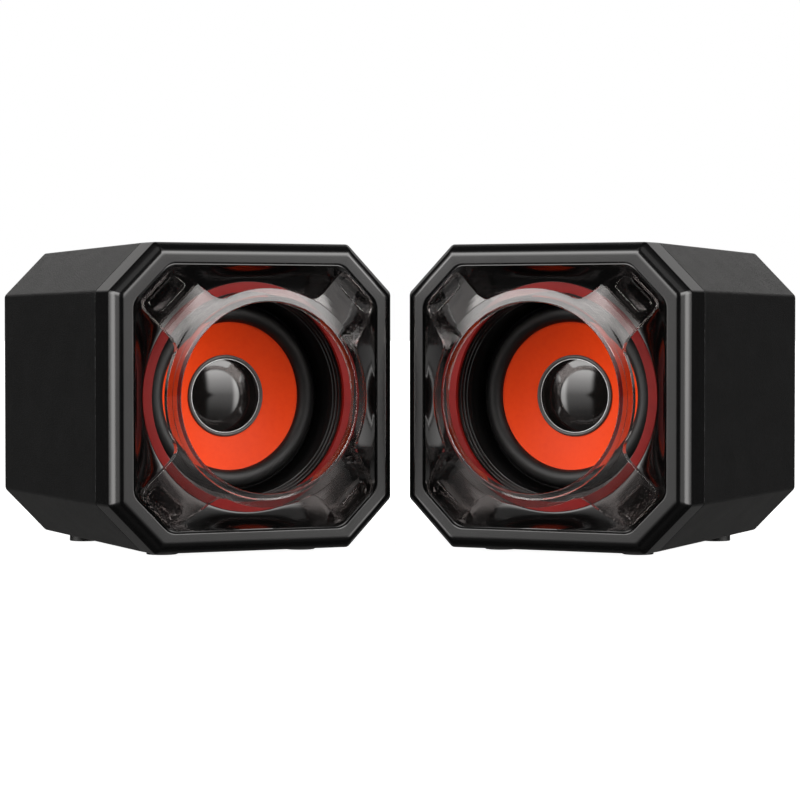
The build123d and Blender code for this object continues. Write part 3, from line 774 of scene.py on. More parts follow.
@dataclass(frozen=True)
class Finishes:
    """Every finish of the pair."""

    grained: Finish = Finish(
        "grained_black_plastic", (0.0028, 0.0029, 0.0030), (0.0038, 0.0038, 0.0040), 0.34, specular=0.6,
        relief=Relief.LEATHER, relief_size=0.9, relief_depth=0.05, painted_hollow_shade=0.5)
    bezel: Finish = Finish(
        "satin_black_plastic", (0.0016, 0.0016, 0.0017), (0.0022, 0.0022, 0.0023), 0.17, specular=0.55,
        relief=Relief.PEEL, relief_size=1.4, relief_depth=0.004, gloss_spread=0.04)
    piano: Finish = Finish(
        "gloss_black_plastic", (0.0015, 0.0015, 0.0015), (0.002, 0.002, 0.002), 0.12, specular=0.45,
        gloss_spread=0.03, relief=Relief.PEEL, relief_size=3.0, relief_depth=0.004)
    red: Finish = Finish(
        "red_satin", (0.175, 0.007, 0.006), (0.14, 0.005, 0.005), 0.4, specular=0.14, gloss_spread=0.05,
        relief=Relief.GROOVES, relief_size=0.35, relief_depth=0.004, local=True)
    smoke: ClearFinish = ClearFinish(
        "smoke_clear_plastic", (0.47, 0.43, 0.42), (0.42, 0.38, 0.37), 0.02, mottle=14.0,
        mottle_amount=0.3, gloss_spread=0.004)
    rubber: Finish = Finish(
        "black_rubber", (0.004, 0.004, 0.004), (0.007, 0.007, 0.007), 0.5, specular=0.35,
        relief=Relief.SPARK, relief_size=0.35, relief_depth=0.02, gloss_spread=0.08)
    matte: Finish = Finish(
        "matte_black_plastic", (0.013, 0.013, 0.013), (0.019, 0.019, 0.019), 0.55,
        relief=Relief.SPARK, relief_size=0.5, relief_depth=0.03, painted_hollow_shade=0.3)
    black_steel: Finish = Finish(
        "black_steel", (0.03, 0.03, 0.033), (0.05, 0.045, 0.04), 0.38, metallic=0.7,
        relief=Relief.SPARK, relief_size=0.2, relief_depth=0.006)
    foam: Finish = Finish(
        "black_foam", (0.014, 0.014, 0.014), (0.022, 0.022, 0.022), 0.85,
        relief=Relief.SPARK, relief_size=0.6, relief_depth=0.06, painted_hollow_shade=0.6)
    painted_steel: Finish = Finish(
        "black_painted_steel", (0.012, 0.012, 0.012), (0.02, 0.02, 0.02), 0.35,
        relief=Relief.PEEL, relief_size=0.8, relief_depth=0.01)
    board: Finish = Finish(
        "board_green", (0.008, 0.07, 0.03), (0.012, 0.10, 0.042), 0.3, mottle=2.5,
        mottle_amount=0.9, relief=Relief.WEAVE, relief_size=1.2, relief_depth=0.01, local=True)
    zinc: Finish = Finish(
        "zinc_steel", (0.50, 0.50, 0.48), (0.42, 0.41, 0.37), 0.3, metallic=1.0,
        relief=Relief.BRUSHED, relief_size=0.3, relief_depth=0.004)
    cloth: Finish = Finish(
        "amber_cloth", (0.38, 0.21, 0.06), (0.30, 0.15, 0.04), 0.75, sheen=0.2,
        relief=Relief.WEAVE, relief_size=0.5, relief_depth=0.08, painted_hollow_shade=0.5, local=True)
    cone: Finish = Finish(
        "orange_cone", (0.71, 0.046, 0.002), (0.67, 0.038, 0.0015), 0.52, specular=0.14, mottle=1.6,
        gloss_spread=0.05, relief=Relief.FIBRE, relief_size=0.35, relief_depth=0.012)
    collar: Finish = Finish(
        "grey_collar", (0.048, 0.046, 0.045), (0.062, 0.058, 0.056), 0.42,
        relief=Relief.PEEL, relief_size=0.5, relief_depth=0.006)
    cap: Finish = Finish(
        "gloss_black_cap", (0.004, 0.0036, 0.0034), (0.006, 0.005, 0.0045), 0.09, specular=0.7,
        gloss_spread=0.02, mottle=1.0,
        relief=Relief.SPARK, relief_size=0.25, relief_depth=0.001)
    foil: Finish = Finish(
        "aluminium_foil", (0.72, 0.72, 0.73), (0.62, 0.62, 0.64), 0.32, metallic=1.0,
        relief=Relief.BRUSHED, relief_size=0.3, relief_depth=0.006)
    copper: Finish = Finish(
        "copper_wire", (0.66, 0.25, 0.09), (0.5, 0.17, 0.05), 0.3, metallic=1.0,
        relief=Relief.WINDING, relief_size=0.25, relief_depth=0.08, painted_hollow_shade=0.5, local=True)
    ferrite: Finish = Finish(
        "ferrite", (0.035, 0.035, 0.038), (0.055, 0.055, 0.058), 0.5,
        relief=Relief.SPARK, relief_size=0.5, relief_depth=0.02)
    sleeve: Finish = Finish(
        "capacitor_sleeve", (0.012, 0.018, 0.05), (0.018, 0.025, 0.065), 0.28,
        relief=Relief.PEEL, relief_size=1.0, relief_depth=0.01)


# ---------------------------------------------------------------- the pieces


@dataclass(frozen=True)
class Part:
    """A modelled piece, named after the CAD node it stands for; "moves" if it rides on the cone."""

    piece: bpy.types.Object
    finish: Finish
    moves: bool = False


@dataclass
class Housing:
    """The cabinet shell and the front bezel."""

    bench: Workbench
    finishes: Finishes
    width: float = 104.6
    height: float = 104.0
    cut: float = 16.5
    rounding: float = 1.8
    opening_width: float = 89.6
    opening_height: float = 89.9
    opening_cut: float = 12.8
    opening_rounding: float = 5.0
    seam_depth: float = 16.0
    depth: float = 109.6
    draft: float = 1.7
    wall: float = 2.8
    rim_inset: float = 4.4
    rim_fall: float = 0.04
    shoulder_inset: float = 0.2
    shoulder_lean: float = 66.0
    shoulder_steps: int = 16
    shoulder_powers: Point2 = (1.6, 1.1)
    shoulder_edge: tuple[Point2, ...] = ((0.05, 0.35), (0.0, 0.75))
    wall_middle: float = 10.0
    mouth_ease: tuple[Point2, ...] = ((-0.5, 0.03), (-0.28, 0.07), (-0.08, 0.24), (0.0, 0.5))
    pocket: float = 4.8
    tongue: float = 3.0
    tongue_end: float = 20.0
    lip: float = 2.2
    seam_round: float = 0.3
    rear_round: float = 1.0
    wall_steps: int = 6
    inside_rear: float = 100.0

    def outline(self, inset: float, depth: float) -> Outline:
        """The cabinet's outline moved in by an inset, at a depth."""
        base = Outline(self.width, self.height, self.cut, self.rounding, depth)
        return base.inset(inset, depth)

    def opening(self, inset: float, depth: float) -> Outline:
        """The front opening's outline moved in by an inset, at a depth."""
        base = Outline(self.opening_width, self.opening_height, self.opening_cut,
                       self.opening_rounding, depth)
        return base.inset(inset, depth)

    def lean(self, depth: float) -> float:
        """How far the walls have leant in at a depth."""
        return self.draft * (depth - self.seam_depth) / (self.depth - self.seam_depth)

    def shell(self) -> Part:
        """The grained cabinet shell: a tapered tube with eased edges at both ends."""
        small, big = self.seam_round, self.rear_round
        front, last, inner = self.seam_depth + small, self.depth - big, self.wall + self.draft
        section = [(self.wall, self.seam_depth)]
        for angle in (0, 45, 90):
            turn = math.radians(angle)
            section.append((small * (1 - math.sin(turn)), front - small * math.cos(turn)))
        for i in range(1, self.wall_steps):
            depth = front + (last - front) * i / self.wall_steps
            section.append((self.lean(depth), depth))
        for angle in (0, 30, 60, 90):
            turn = math.radians(angle)
            section.append((self.lean(last) + big * (1 - math.cos(turn)), last + big * math.sin(turn)))
        section += [(inner - small, self.depth - self.bench.HAIR), (inner, self.depth - small),
                    (self.wall + self.lean(self.inside_rear), self.inside_rear)]
        piece = self.bench.skin("cabinet_shell", [self.outline(*at) for at in section])
        return Part(piece, self.finishes.grained)

    def bezel(self) -> Part:
        """The bezel: side wall, swelling shoulder, polished rim and the throat of its opening."""
        outside = [(self.seam_round, self.seam_depth), (0, self.seam_depth - self.seam_round),
                   (0, self.wall_middle), *self.shoulder()]
        inside = [(self.pocket, self.lip), (self.pocket, self.tongue_end),
                  (self.tongue, self.tongue_end), (self.tongue, self.seam_depth)]
        rings = [self.outline(*at) for at in outside]
        rings += [self.opening(*at) for at in (*self.mouth_ease, (0, self.lip))]
        rings += [self.outline(*at) for at in inside]
        return Part(self.bench.skin("front_bezel", rings), self.finishes.bezel)

    def shoulder(self) -> list[Point2]:
        """The shoulder's section from the side wall to the rim, as (inset, depth) points.

        Returns:
            Points whose lean eases from steep at the wall to flat at the rim.
        """
        width = (self.rim_inset - self.shoulder_inset) / self.shoulder_steps
        fade, sharpness = self.shoulder_powers
        points, depth = [], self.rim_fall
        for i in reversed(range(self.shoulder_steps + 1)):
            inset = self.shoulder_inset + width * i
            points.append((inset, depth))
            run = (inset - width / 2) / self.rim_inset
            lean = self.shoulder_lean * (1 - run ** fade) ** sharpness
            depth += width * math.tan(math.radians(lean))
        steepest = points[-1][1]
        points += [(inset, steepest + drop) for inset, drop in self.shoulder_edge]
        return points[::-1]

    def parts(self) -> list[Part]:
        """Both mouldings."""
        return [self.shell(), self.bezel()]


@dataclass
class FrontPlate:
    """The coved gloss baffle with its stepped throat, and the accent ring in it."""

    bench: Workbench
    finishes: Finishes
    housing: Housing
    lip_depth: float = 0.5
    cove_depth: float = 7.0
    cove_steps: int = 14
    cove_power: float = 1.25
    cove_spread: float = 1.6
    land: float = 0.5
    land_crown: float = 0.1
    ring_outer: float = 39.0
    ring_inner: float = 35.7
    ring_proud: float = 0.2
    ring_thickness: float = 1.4
    ring_bevel: float = 0.15
    gap: float = 0.15
    throat_rear: float = 32.2
    throat_steps: int = 3
    step_rise: float = 1.35
    step_run: float = 0.6
    seat_depth: float = 22.5
    seat_thickness: float = 3.0
    seat_radius: float = 44.0
    plate_back: float = 10.0
    step_section: tuple[Point2, ...] = ((-0.08, 0.15), (-0.12, 1.23), (-0.22, 1.35), (-0.54, 1.35))
    step_foot: float = 0.05
    taper_start: Point2 = (-0.2, 2.0)
    taper_end: Point2 = (0.15, -1.0)
    corner_share: float = 0.3

    @property
    def ring_centre_depth(self) -> float:
        """Depth of the middle of the accent ring."""
        return self.cove_depth - self.ring_proud + self.ring_thickness / 2

    def baffle(self) -> Part:
        """The baffle as one closed moulding."""
        opening, middle = self.housing.opening, self.gap + self.land / 2
        mouth = opening(self.gap, self.lip_depth)
        inner = opening(self.gap + self.land, self.lip_depth)
        rings = [opening(self.gap, self.housing.lip), mouth,
                 opening(middle, self.lip_depth - self.land_crown), inner]
        start = self.mean_radius(inner)
        end = self.ring_outer + self.gap
        for i in range(1, self.cove_steps + 1):
            run = 1 - (1 - i / self.cove_steps) ** self.cove_spread
            fall = 1 - (1 - run) ** self.cove_power
            depth = self.lip_depth + (self.cove_depth - self.lip_depth) * fall
            base = opening(self.gap + self.land, depth)
            rings.append(replace(base, roundness=run, radius=start + (end - start) * run))
        floor = self.cove_depth - self.ring_proud + self.ring_thickness
        seat_front = self.seat_depth - self.seat_thickness
        rounds = [(end, floor), *self.throat(floor), (self.seat_radius, self.seat_depth),
                  (self.seat_radius, seat_front), (self.ring_outer, seat_front),
                  (self.ring_outer, self.plate_back)]
        rings += [mouth.circle(*at) for at in rounds]
        flange = self.housing.pocket + self.gap
        rings += [self.housing.outline(flange, depth) for depth in (self.plate_back, self.housing.lip)]
        return Part(self.bench.skin("baffle", rings, smooth=38.0), self.finishes.piano)

    def throat(self, floor: float) -> list[Point2]:
        """The wall behind the accent ring: fine steps at the front, then a plain taper."""
        radius, depth = self.ring_inner, floor
        points = [(radius, depth)]
        for _ in range(self.throat_steps):
            points += [(radius + across, depth + back) for across, back in self.step_section]
            radius, depth = radius - self.step_run, depth + self.step_rise
            points.append((radius, depth + self.step_foot))
        rear = (self.throat_rear, self.seat_depth)
        for base, (across, back) in (((radius, depth), self.taper_start), (rear, self.taper_end)):
            points.append((base[0] + across, base[1] + back))
        return [*points, rear]

    def mean_radius(self, outline: Outline) -> float:
        """Mean distance of an outline's points from the axis, read from a trial loop."""
        trial = self.bench.start_empty("trial")
        self.bench.add_loop(outline)
        radius = self.bench.ring_radius()
        bpy.ops.object.mode_set(mode="OBJECT")
        bpy.data.objects.remove(trial)
        return radius

    def accent_ring(self) -> Part:
        """The flat red ring with eased edges."""
        front = self.cove_depth - self.ring_proud
        back, ease = front + self.ring_thickness, self.ring_bevel
        corner = ease * self.corner_share
        profile = [
            (self.ring_inner, back), (self.ring_inner, front + ease),
            (self.ring_inner + corner, front + corner), (self.ring_inner + ease, front),
            (self.ring_outer - ease, front), (self.ring_outer - corner, front + corner),
            (self.ring_outer, front + ease), (self.ring_outer, back),
        ]
        piece = self.bench.turn("accent_ring", profile, 192)
        return Part(piece, self.finishes.red)

    def parts(self) -> list[Part]:
        """The baffle and its ring."""
        return [self.baffle(), self.accent_ring()]


@dataclass(frozen=True)
class Station:
    """One cross-section of an arm of the clear trim."""

    out: float
    half_width: float
    curve: float = 0.0


@dataclass
class ClearTrim:
    """The clear ring in front of the driver, on four arms whose legs stand on the baffle."""

    bench: Workbench
    finishes: Finishes
    inner: float = 32.1
    crest: float = 32.5
    outer: float = 36.7
    inner_depth: float = -9.45
    crest_depth: float = -9.74
    rim_depth: float = -8.5
    back_depth: float = -6.1
    wall_back: float = -5.6
    lip: tuple[Point2, ...] = ((32.16, -9.61), (32.3, -9.71))
    foot: tuple[Point2, ...] = ((34.2, -7.0), (33.6, -5.6))
    steps: int = 144
    root: float = 12.6
    root_band: float = 0.4
    upright: float = 0.9
    slope: Point2 = (0.32, 0.0069)
    stations: tuple[Station, ...] = (
        Station(0.5, 11.4, 0.85), Station(1.2, 10.75, 0.65), Station(2.0, 10.3, 0.45),
        Station(3.2, 10.0, 0.25), Station(5.0, 9.8, 0.1), Station(7.4, 9.55), Station(9.8, 9.3),
        Station(12.0, 9.08), Station(13.4, 8.85), Station(14.6, 8.4), Station(15.4, 7.7),
        Station(15.95, 6.8), Station(16.25, 5.8))
    leg_half: float = 6.75
    leg_inner: float = 46.4
    leg_outer: float = 51.4
    leg_seat: float = 8.6
    leg_top: float = -8.0
    leg_round: float = 1.5
    pad_ease: float = 0.25
    pad_proud: float = 0.3
    edge: float = 0.07

    def ring(self) -> bpy.types.Object:
        """The turned ring, left in edit mode."""
        profile = [
            (self.inner, self.wall_back), (self.inner, self.inner_depth), *self.lip,
            (self.crest, self.crest_depth), (self.outer, self.rim_depth),
            (self.outer, self.back_depth), *self.foot,
        ]
        piece = self.bench.turn("clear_trim", profile, self.steps)
        self.bench.pick(piece)
        bpy.ops.object.mode_set(mode="EDIT")
        return piece

    def fall(self, out: float) -> float:
        """How far an arm has dropped at a distance from the ring's outer wall."""
        return self.slope[0] * out + self.slope[1] * out ** 2

    def grow_arm(self, angle: float) -> None:
        """Extrudes one arm from the ring's outer wall along a diagonal, station by station."""
        along = Vector((math.cos(angle), math.sin(angle), 0))
        across = Vector((-math.sin(angle), math.cos(angle), 0))

        def at_root(face: bmesh.types.BMFace, _: object) -> bool:
            """Whether a face lies on the ring's outer wall within the arm's root."""
            centre = face.calc_center_median() / MM
            on_wall = centre.xy.length > self.outer - self.root_band
            facing_out = face.normal.xy.length > self.upright and centre.dot(along) > 0
            return on_wall and facing_out and abs(centre.dot(across)) < self.root

        self.bench.choose("faces", at_root)
        out, curve = 0.0, 1.0
        for station in self.stations:
            drop = self.fall(station.out) - self.fall(out)
            move = along * (station.out - out) * MM - Vector((0, 0, drop * MM))
            bpy.ops.mesh.extrude_region_move(TRANSFORM_OT_translate={"value": move})
            self._shape_end(angle, station.half_width, station.curve / curve if curve else 1.0)
            out, curve = station.out, station.curve

    @staticmethod
    def _shape_end(angle: float, half_width: float, curve: float) -> None:
        """Scales the selected end of an arm to a half width, and flattens its curve."""
        shape = bmesh.from_edit_mesh(bpy.context.object.data)
        chosen = [v.co.copy() for v in shape.verts if v.select]
        along = Vector((math.cos(angle), math.sin(angle), 0))
        across = Vector((-math.sin(angle), math.cos(angle), 0))
        reach = max(c.dot(along) for c in chosen)
        width = max(abs(c.dot(across)) for c in chosen)
        depth = sum(c.z for c in chosen) / len(chosen)
        bpy.ops.transform.resize(
            value=(curve, half_width * MM / width, 1), orient_type="GLOBAL",
            orient_matrix=Matrix.Rotation(angle, 3, "Z"), orient_matrix_type="GLOBAL",
            center_override=along * reach + Vector((0, 0, depth)))

    def leg(self) -> bpy.types.Object:
        """The leg on the first axis: a rounded post whose top is a pad along the arm's slope."""
        low = (self.leg_inner, -self.leg_half, self.leg_top)
        post = self.bench.box("leg", low, (self.leg_outer, self.leg_half, self.leg_seat))
        self.bench.bevel(post, self.leg_round, segments=5)
        bpy.ops.object.mode_set(mode="EDIT")
        bpy.ops.mesh.select_mode(type="EDGE")
        bpy.ops.mesh.select_all(action="SELECT")
        out = (self.leg_inner + self.leg_outer) / 2 - self.outer
        steep = math.atan(self.slope[0] + 2 * self.slope[1] * out)
        top = self.rim_depth + self.fall(out) - self.pad_proud
        bpy.ops.mesh.bisect(
            plane_co=((self.outer + out) * MM, 0, -top * MM),
            plane_no=(math.sin(steep), 0, math.cos(steep)), use_fill=True, clear_outer=True)
        bpy.ops.mesh.bevel(offset=self.pad_ease * MM, segments=2, affect="EDGES")
        return self.bench.finish(post)

    def parts(self) -> list[Part]:
        """The whole trim as one clear moulding."""
        piece = self.ring()
        for angle in DIAGONALS:
            self.grow_arm(angle)
        self.bench.finish(piece)
        self.bench.bevel(piece, self.edge, segments=1, angle=38.0)
        leg = self.leg()
        for angle in DIAGONALS:
            turned = self.bench.stand(leg, leg.name, Matrix.Rotation(angle, 4, "Z"))
            self.bench.combine(piece, turned, "UNION")
        bpy.data.objects.remove(leg)
        self.bench.shade(piece, smooth=24.0)
        return [Part(piece, self.finishes.smoke)]


@dataclass
class Driver:
    """What shows of the driver: surround, cone, collar and dust cap."""

    bench: Workbench
    finishes: Finishes
    basket_face: float = 23.5
    sheet: float = 0.5
    cone_edge: float = 25.4
    cone_rim: float = 26.4
    roll_outer: float = 31.6
    rim_outer: float = 33.5
    cone_fall: float = 4.1
    cone_bow: float = 0.35
    neck: float = 14.2
    neck_hole: float = 12.75
    collar_outer: float = 14.1
    collar_height: float = 0.75
    cap_radius: float = 12.6
    cap_height: float = 2.8
    cap_base_rise: float = 0.2
    cap_sheet: float = 0.4
    roll_edge: tuple[Point2, ...] = ((0.25, -0.12), (0.7, 0.0))
    cone_steps: int = 10
    rim_ease: float = 0.15
    neck_ease: Point2 = (0.2, 0.05)
    steps: int = 160

    @property
    def roll_base(self) -> float:
        """Depth of the surround's feet."""
        return self.basket_face - self.sheet

    @property
    def cone_floor(self) -> float:
        """Depth of the cone's neck."""
        return self.roll_base + self.cone_fall

    def surround(self) -> Part:
        """The half-roll rubber surround with its flat outer rim."""
        middle = (self.cone_edge + self.roll_outer) / 2
        outer = (self.roll_outer - self.cone_edge) / 2
        inner = outer - self.sheet
        base = self.roll_base
        profile = arc((middle, base), (outer, outer), 180, 8, 18)
        profile += [(self.roll_outer + out, base + rise) for out, rise in self.roll_edge]
        profile += [(self.rim_outer, base), (self.rim_outer, self.basket_face),
                    (middle + inner, self.basket_face)]
        profile += arc((middle, base), (inner, inner), 0, 180, 18)
        piece = self.bench.turn("surround", profile, self.steps, smooth=50.0)
        return Part(piece, self.finishes.rubber)

    def cone(self) -> Part:
        """The shallow cone, bowed a little along its slope."""
        top, floor = self.roll_base, self.cone_floor
        slope = []
        for i in range(self.cone_steps + 1):
            run = i / self.cone_steps
            radius = self.cone_edge + (self.neck - self.cone_edge) * run
            bow = self.cone_bow * math.sin(math.pi * run)
            slope.append((radius, top + (floor - top) * run + bow))
        across, back = self.neck_ease
        front = [(self.cone_rim, top), (self.cone_edge + self.rim_ease, top), *slope[1:]]
        front += [(self.neck - across, floor + back), (self.neck_hole, floor + back)]
        rear = [(radius, depth + self.sheet) for radius, depth in reversed(front)]
        piece = self.bench.turn("cone", front + rear, self.steps)
        return Part(piece, self.finishes.cone, True)

    def collar(self) -> Part:
        """The grey bead where the cone meets the dust cap."""
        middle = (self.neck_hole + self.collar_outer) / 2
        half = (self.collar_outer - self.neck_hole) / 2
        profile = arc((middle, self.cone_floor), (half, self.collar_height), 0, 180, 12)
        piece = self.bench.turn("cone_collar", profile, self.steps)
        return Part(piece, self.finishes.collar, True)

    def cap(self) -> Part:
        """The domed dust cap, a thin shell."""
        base = self.cone_floor - self.cap_base_rise
        profile = self.dome(self.cap_radius, self.cap_height, base)
        inside = self.dome(self.cap_radius - self.cap_sheet, self.cap_height - self.cap_sheet, base)
        piece = self.bench.turn("dust_cap", profile + inside[::-1], self.steps, smooth=60.0)
        return Part(piece, self.finishes.cap, True)

    @staticmethod
    def dome(radius: float, height: float, base: float) -> list[Point2]:
        """A spherical dome's profile from its foot to the axis."""
        sphere = (radius ** 2 + height ** 2) / (2 * height)
        reach = math.degrees(math.acos(min(1.0, (sphere - height) / sphere)))
        return arc((0, base - height + sphere), (sphere, sphere), 90 - reach, 90, 28)

    def parts(self) -> list[Part]:
        """Every driver piece that shows."""
        return [self.surround(), self.cone(), self.collar(), self.cap()]


@dataclass
class Feet:
    """The four rubber feet of a speaker, as one group."""

    bench: Workbench
    finishes: Finishes
    radius: float = 5.3
    spacing: float = 51.6
    front_depth: float = 22.0
    rear_depth: float = 94.0
    floor: float = -53.4
    heights: tuple[float, float] = (2.6, 3.9)
    ease: float = 0.2

    def foot(self, height: float) -> bpy.types.Object:
        """One foot, turned upright, with an eased sole."""
        ease = self.ease
        profile = [(0, 0), (self.radius - ease, 0)]
        profile += arc((self.radius - ease, -ease), (ease, ease), -90, 0, 4)[1:]
        profile += [(self.radius, -height), (0, -height)]
        return self.bench.turn("foot", profile, 48, closed=False)

    def parts(self) -> list[Part]:
        """The four feet joined into one node."""
        upright = Matrix.Rotation(math.radians(-90), 4, "X")
        feet = []
        for depth, height in zip((self.front_depth, self.rear_depth), self.heights):
            model = self.foot(height)
            for side in (-1, 1):
                place = Matrix.Translation((side * self.spacing / 2 * MM, self.floor * MM, -depth * MM))
                feet.append(self.bench.stand(model, "foot", place @ upright))
            bpy.data.objects.remove(model)
        return [Part(self.bench.join("feet", feet), self.finishes.rubber)]


# ---------------------------------------------------------------- studio


@dataclass
class Studio:
    """The camera, the floor and the soft light round the pair.

    The light is a function of direction. Angles are in degrees: a turn is how far a direction is
    from the camera's side, and a rise is its height over the horizon. "grade" gives the panels'
    strength by rise; each pair of angles is where one edge of a light starts and ends.
    """

    centre: Vector
    camera_distance: float = 1.0097
    camera_rise: float = 0.0251
    camera_pitch: float = 1.474
    lens: float = 135.0
    panel: float = 7.0
    strip: float = 4.3
    backdrop: float = 0.55
    underglow: float = 0.08
    fill: float = 0.03
    tone: Color = (1.0, 0.985, 0.97)
    floor_size: float = 24.0
    floor_gap: float = 0.0002
    floor_color: Color = (0.4, 0.4, 0.4)
    floor_glow: float = 0.98
    grade: tuple[Point2, ...] = (
        (-90, 0.02), (-46, 0.06), (-35, 0.08), (-21, 0.33), (-8, 0.95), (0, 1.3), (6, 2.3),
        (19, 4.3), (30, 6.8), (42, 6.8), (54, 0.6), (90, 0.2))
    panel_start: Point2 = (18, 26)
    low_start: Point2 = (24, 34)
    low_lean: float = 1.5
    panel_end: Point2 = (92, 102)
    side_fade: Point2 = (73, 82)
    side_loss: float = 0.85
    strip_start: Point2 = (56, 62)
    strip_foot: Point2 = (-30, -5)
    strip_head: Point2 = (12, 30)
    backdrop_edge: Point2 = (0.66, 0.76)
    backdrop_foot: Point2 = (8, 20)
    underglow_edge: Point2 = (0.6, 0.8)
    underglow_head: Point2 = (-14, -6)

    def camera(self) -> None:
        """A long lens in front of the pair, a little above the middle of the faces."""
        data = bpy.data.cameras.new("camera")
        data.lens = self.lens
        data.clip_start = 0.05
        camera = bpy.data.objects.new("camera", data)
        camera.location = self.centre + Vector((0, -self.camera_distance, self.camera_rise))
        camera.rotation_euler = Euler((math.radians(90 - self.camera_pitch), 0, 0))
        bpy.context.scene.collection.objects.link(camera)
        bpy.context.scene.camera = camera

    def floor(self) -> None:
        """A plain pale floor that runs to the horizon."""
        bpy.ops.object.select_all(action="DESELECT")
        bpy.ops.mesh.primitive_plane_add(size=self.floor_size, location=(0, 0, -self.floor_gap))
        floor = bpy.context.object
        floor.name = "floor"
        material = bpy.data.materials.new("pale_floor")
        paint = NodePaint(material)
        diffuse = paint.node("ShaderNodeBsdfDiffuse", {}, {"Color": (*self.floor_color, 1)})
        glow = paint.node("ShaderNodeEmission", {}, {"Color": WHITE, "Strength": self.floor_glow})
        seen = paint.node("ShaderNodeLightPath", output="Is Camera Ray")
        lit = paint.node("ShaderNodeAddShader", {}, {0: diffuse, 1: glow})
        surface = paint.node("ShaderNodeMixShader", {}, {0: seen, 1: diffuse, 2: lit})
        paint.node("ShaderNodeOutputMaterial", {}, {"Surface": surface})
        floor.data.materials.append(material)
        floor.visible_glossy = False

    def world(self) -> None:
        """A white backdrop for the camera, and a soft studio round the pair for everything else."""
        world = bpy.data.worlds.new("studio")
        bpy.context.scene.world = world
        paint = NodePaint(world)
        way = paint.node("ShaderNodeTexCoord", output="Generated")
        across, behind, up = paint.parts(way)
        turn = across.size().bearing(0 - behind)
        rise = up.elevation()
        stops = [((angle + 90) / 180, (share / self.panel,) * 3) for angle, share in self.grade]
        grade = paint.node("ShaderNodeValToRGB", {"stops": stops}, {0: (rise + 90) * (1 / 180)})
        sides = 1 - turn.step(*self.side_fade) * self.side_loss
        panels = grade * turn.step(*self.panel_start)
        panels = panels * (turn + rise.size() * self.low_lean).step(*self.low_start)
        panels = panels * (1 - turn.step(*self.panel_end)) * self.panel
        strips = turn.step(*self.strip_start) * rise.step(*self.strip_foot)
        strips = strips * (1 - rise.step(*self.strip_head)) * self.strip
        backdrop = behind.step(*self.backdrop_edge) * rise.step(*self.backdrop_foot) * self.backdrop
        glow = behind.step(*self.underglow_edge) * (1 - rise.step(*self.underglow_head))
        backdrop = backdrop + glow * self.underglow
        level = (panels + strips * (1 - turn.step(*self.panel_end))) * sides + backdrop + self.fill
        soft = paint.node("ShaderNodeBackground", {}, {"Color": (*self.tone, 1), "Strength": level})
        white = paint.node("ShaderNodeBackground", {}, {"Color": WHITE, "Strength": 1.0})
        seen = paint.node("ShaderNodeLightPath", output="Is Camera Ray")
        surface = paint.node("ShaderNodeMixShader", {}, {0: seen, 1: soft, 2: white})
        paint.node("ShaderNodeOutputWorld", {}, {"Surface": surface})

    def build(self) -> None:
        """Sets up the whole studio."""
        self.camera()
        self.floor()
        self.world()
        bpy.context.scene.view_settings.view_transform = "Standard"


# ---------------------------------------------------------------- assembly

CAD_FINISHES: dict[str, str] = {
    "rear_panel": "matte", "rear_panel_screws": "black_steel", "driver_gasket": "foam",
    "driver_basket": "painted_steel", "terminal_strip": "board", "driver_screws": "zinc",
    "spider": "cloth", "voice_coil_former": "foil", "voice_coil": "copper", "top_plate": "zinc",
    "magnet": "ferrite", "pole_yoke": "zinc", "audio_in_jack": "piano", "jack_board": "board",
    "satellite_out_jack": "piano", "power_inlet": "piano", "amplifier_board": "board",
    "board_screws": "zinc", "capacitors": "sleeve", "heatsink": "foil", "volume_pot": "zinc",
    "volume_shaft": "zinc", "volume_knob": "matte",
}


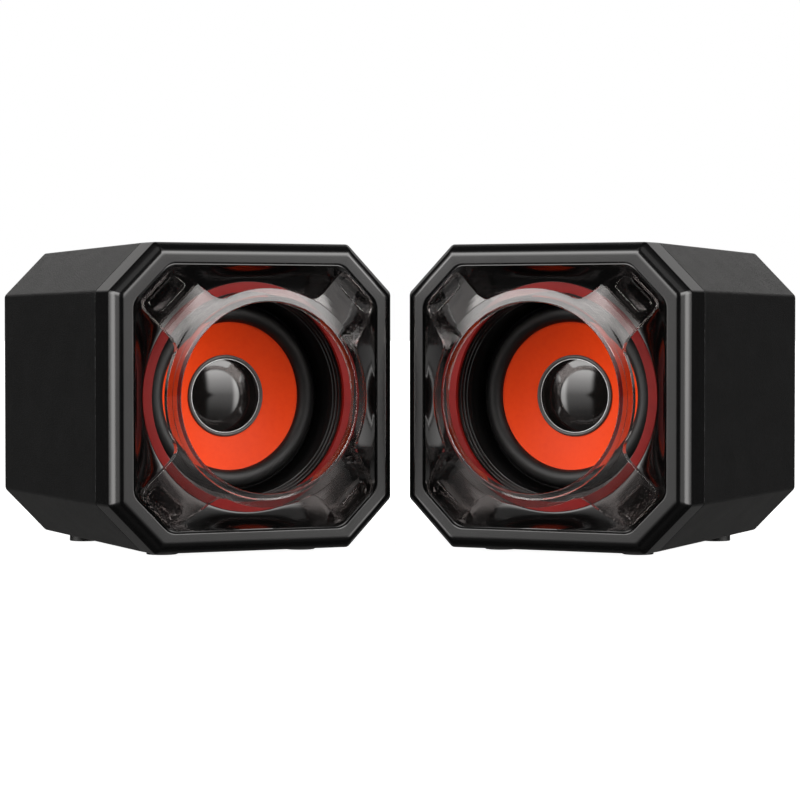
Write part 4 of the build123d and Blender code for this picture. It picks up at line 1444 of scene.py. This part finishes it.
@dataclass
class Pair:
    """Both speakers: models each piece once and stands it in the left and the right one."""

    bench: Workbench
    finishes: Finishes
    placements: list[Placement] = field(default_factory=list)
    foot_width: float = 0.4

    def stand(self, part: Part) -> None:
        """Stands one piece in both speakers, dresses it and hides the CAD nodes it stands for."""
        name = part.piece.name
        for placement in self.placements:
            piece = self.bench.stand(part.piece, f"{placement.node(name)}_skin", placement.matrix)
            part.finish.dress(piece, placement)
            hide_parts(placement.node(name))
            if name == "surround":
                self.flex(piece, placement)
            else:
                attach(piece, placement.cone_body if part.moves else placement.body)
            LOG.info("%s: %d faces", piece.name, len(piece.data.polygons))
        bpy.data.objects.remove(part.piece)

    def flex(self, piece: bpy.types.Object, placement: Placement) -> None:
        """Lets the surround flex: its inner foot goes with the cone and its rim stays put."""
        driver = Driver(self.bench, self.finishes)
        centre = placement.point(0, 0, driver.roll_base)
        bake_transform(piece, placement.cone_body, placement.body, start=centre,
                 end=placement.point(driver.roll_outer, 0, driver.roll_base))
        weights = piece.data.attributes["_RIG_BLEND"].data
        axis = placement.matrix.to_3x3() @ Vector((0, 0, 1))
        start, end = driver.cone_edge + self.foot_width, driver.roll_outer - self.foot_width
        for vertex, weight in zip(piece.data.vertices, weights):
            arm = vertex.co - centre
            radius = (arm - axis * arm.dot(axis)).length / MM
            run = min(1.0, max(0.0, (radius - start) / (end - start)))
            weight.value = run * run * (3 - 2 * run)

    def dress_cad(self, nodes: dict[str, bpy.types.Object]) -> None:
        """Gives every CAD node that stays its finish."""
        for placement in self.placements:
            prefix = f"{placement.side.value}_"
            for name, node in nodes.items():
                short = name.removeprefix(prefix)
                if name.startswith(prefix) and short in CAD_FINISHES:
                    getattr(self.finishes, CAD_FINISHES[short]).dress(node, placement)


def main() -> None:
    """Builds the looks of the pair."""
    logging.basicConfig(level=logging.INFO, format="%(name)s: %(message)s")
    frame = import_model()
    bench, finishes = Workbench(), Finishes()
    housing = Housing(bench, finishes)
    plate = FrontPlate(bench, finishes, housing)
    placements = [Placement.read(side, frame["joints"], plate.ring_centre_depth) for side in Side]
    pair = Pair(bench, finishes, placements)
    pair.dress_cad(frame["nodes"])
    for maker in (housing, plate, ClearTrim(bench, finishes), Driver(bench, finishes),
                  Feet(bench, finishes)):
        for part in maker.parts():
            pair.stand(part)
    middle = sum((p.matrix.translation for p in placements), Vector()) / len(placements)
    Studio(middle).build()


if __name__ == "__main__":
    main()
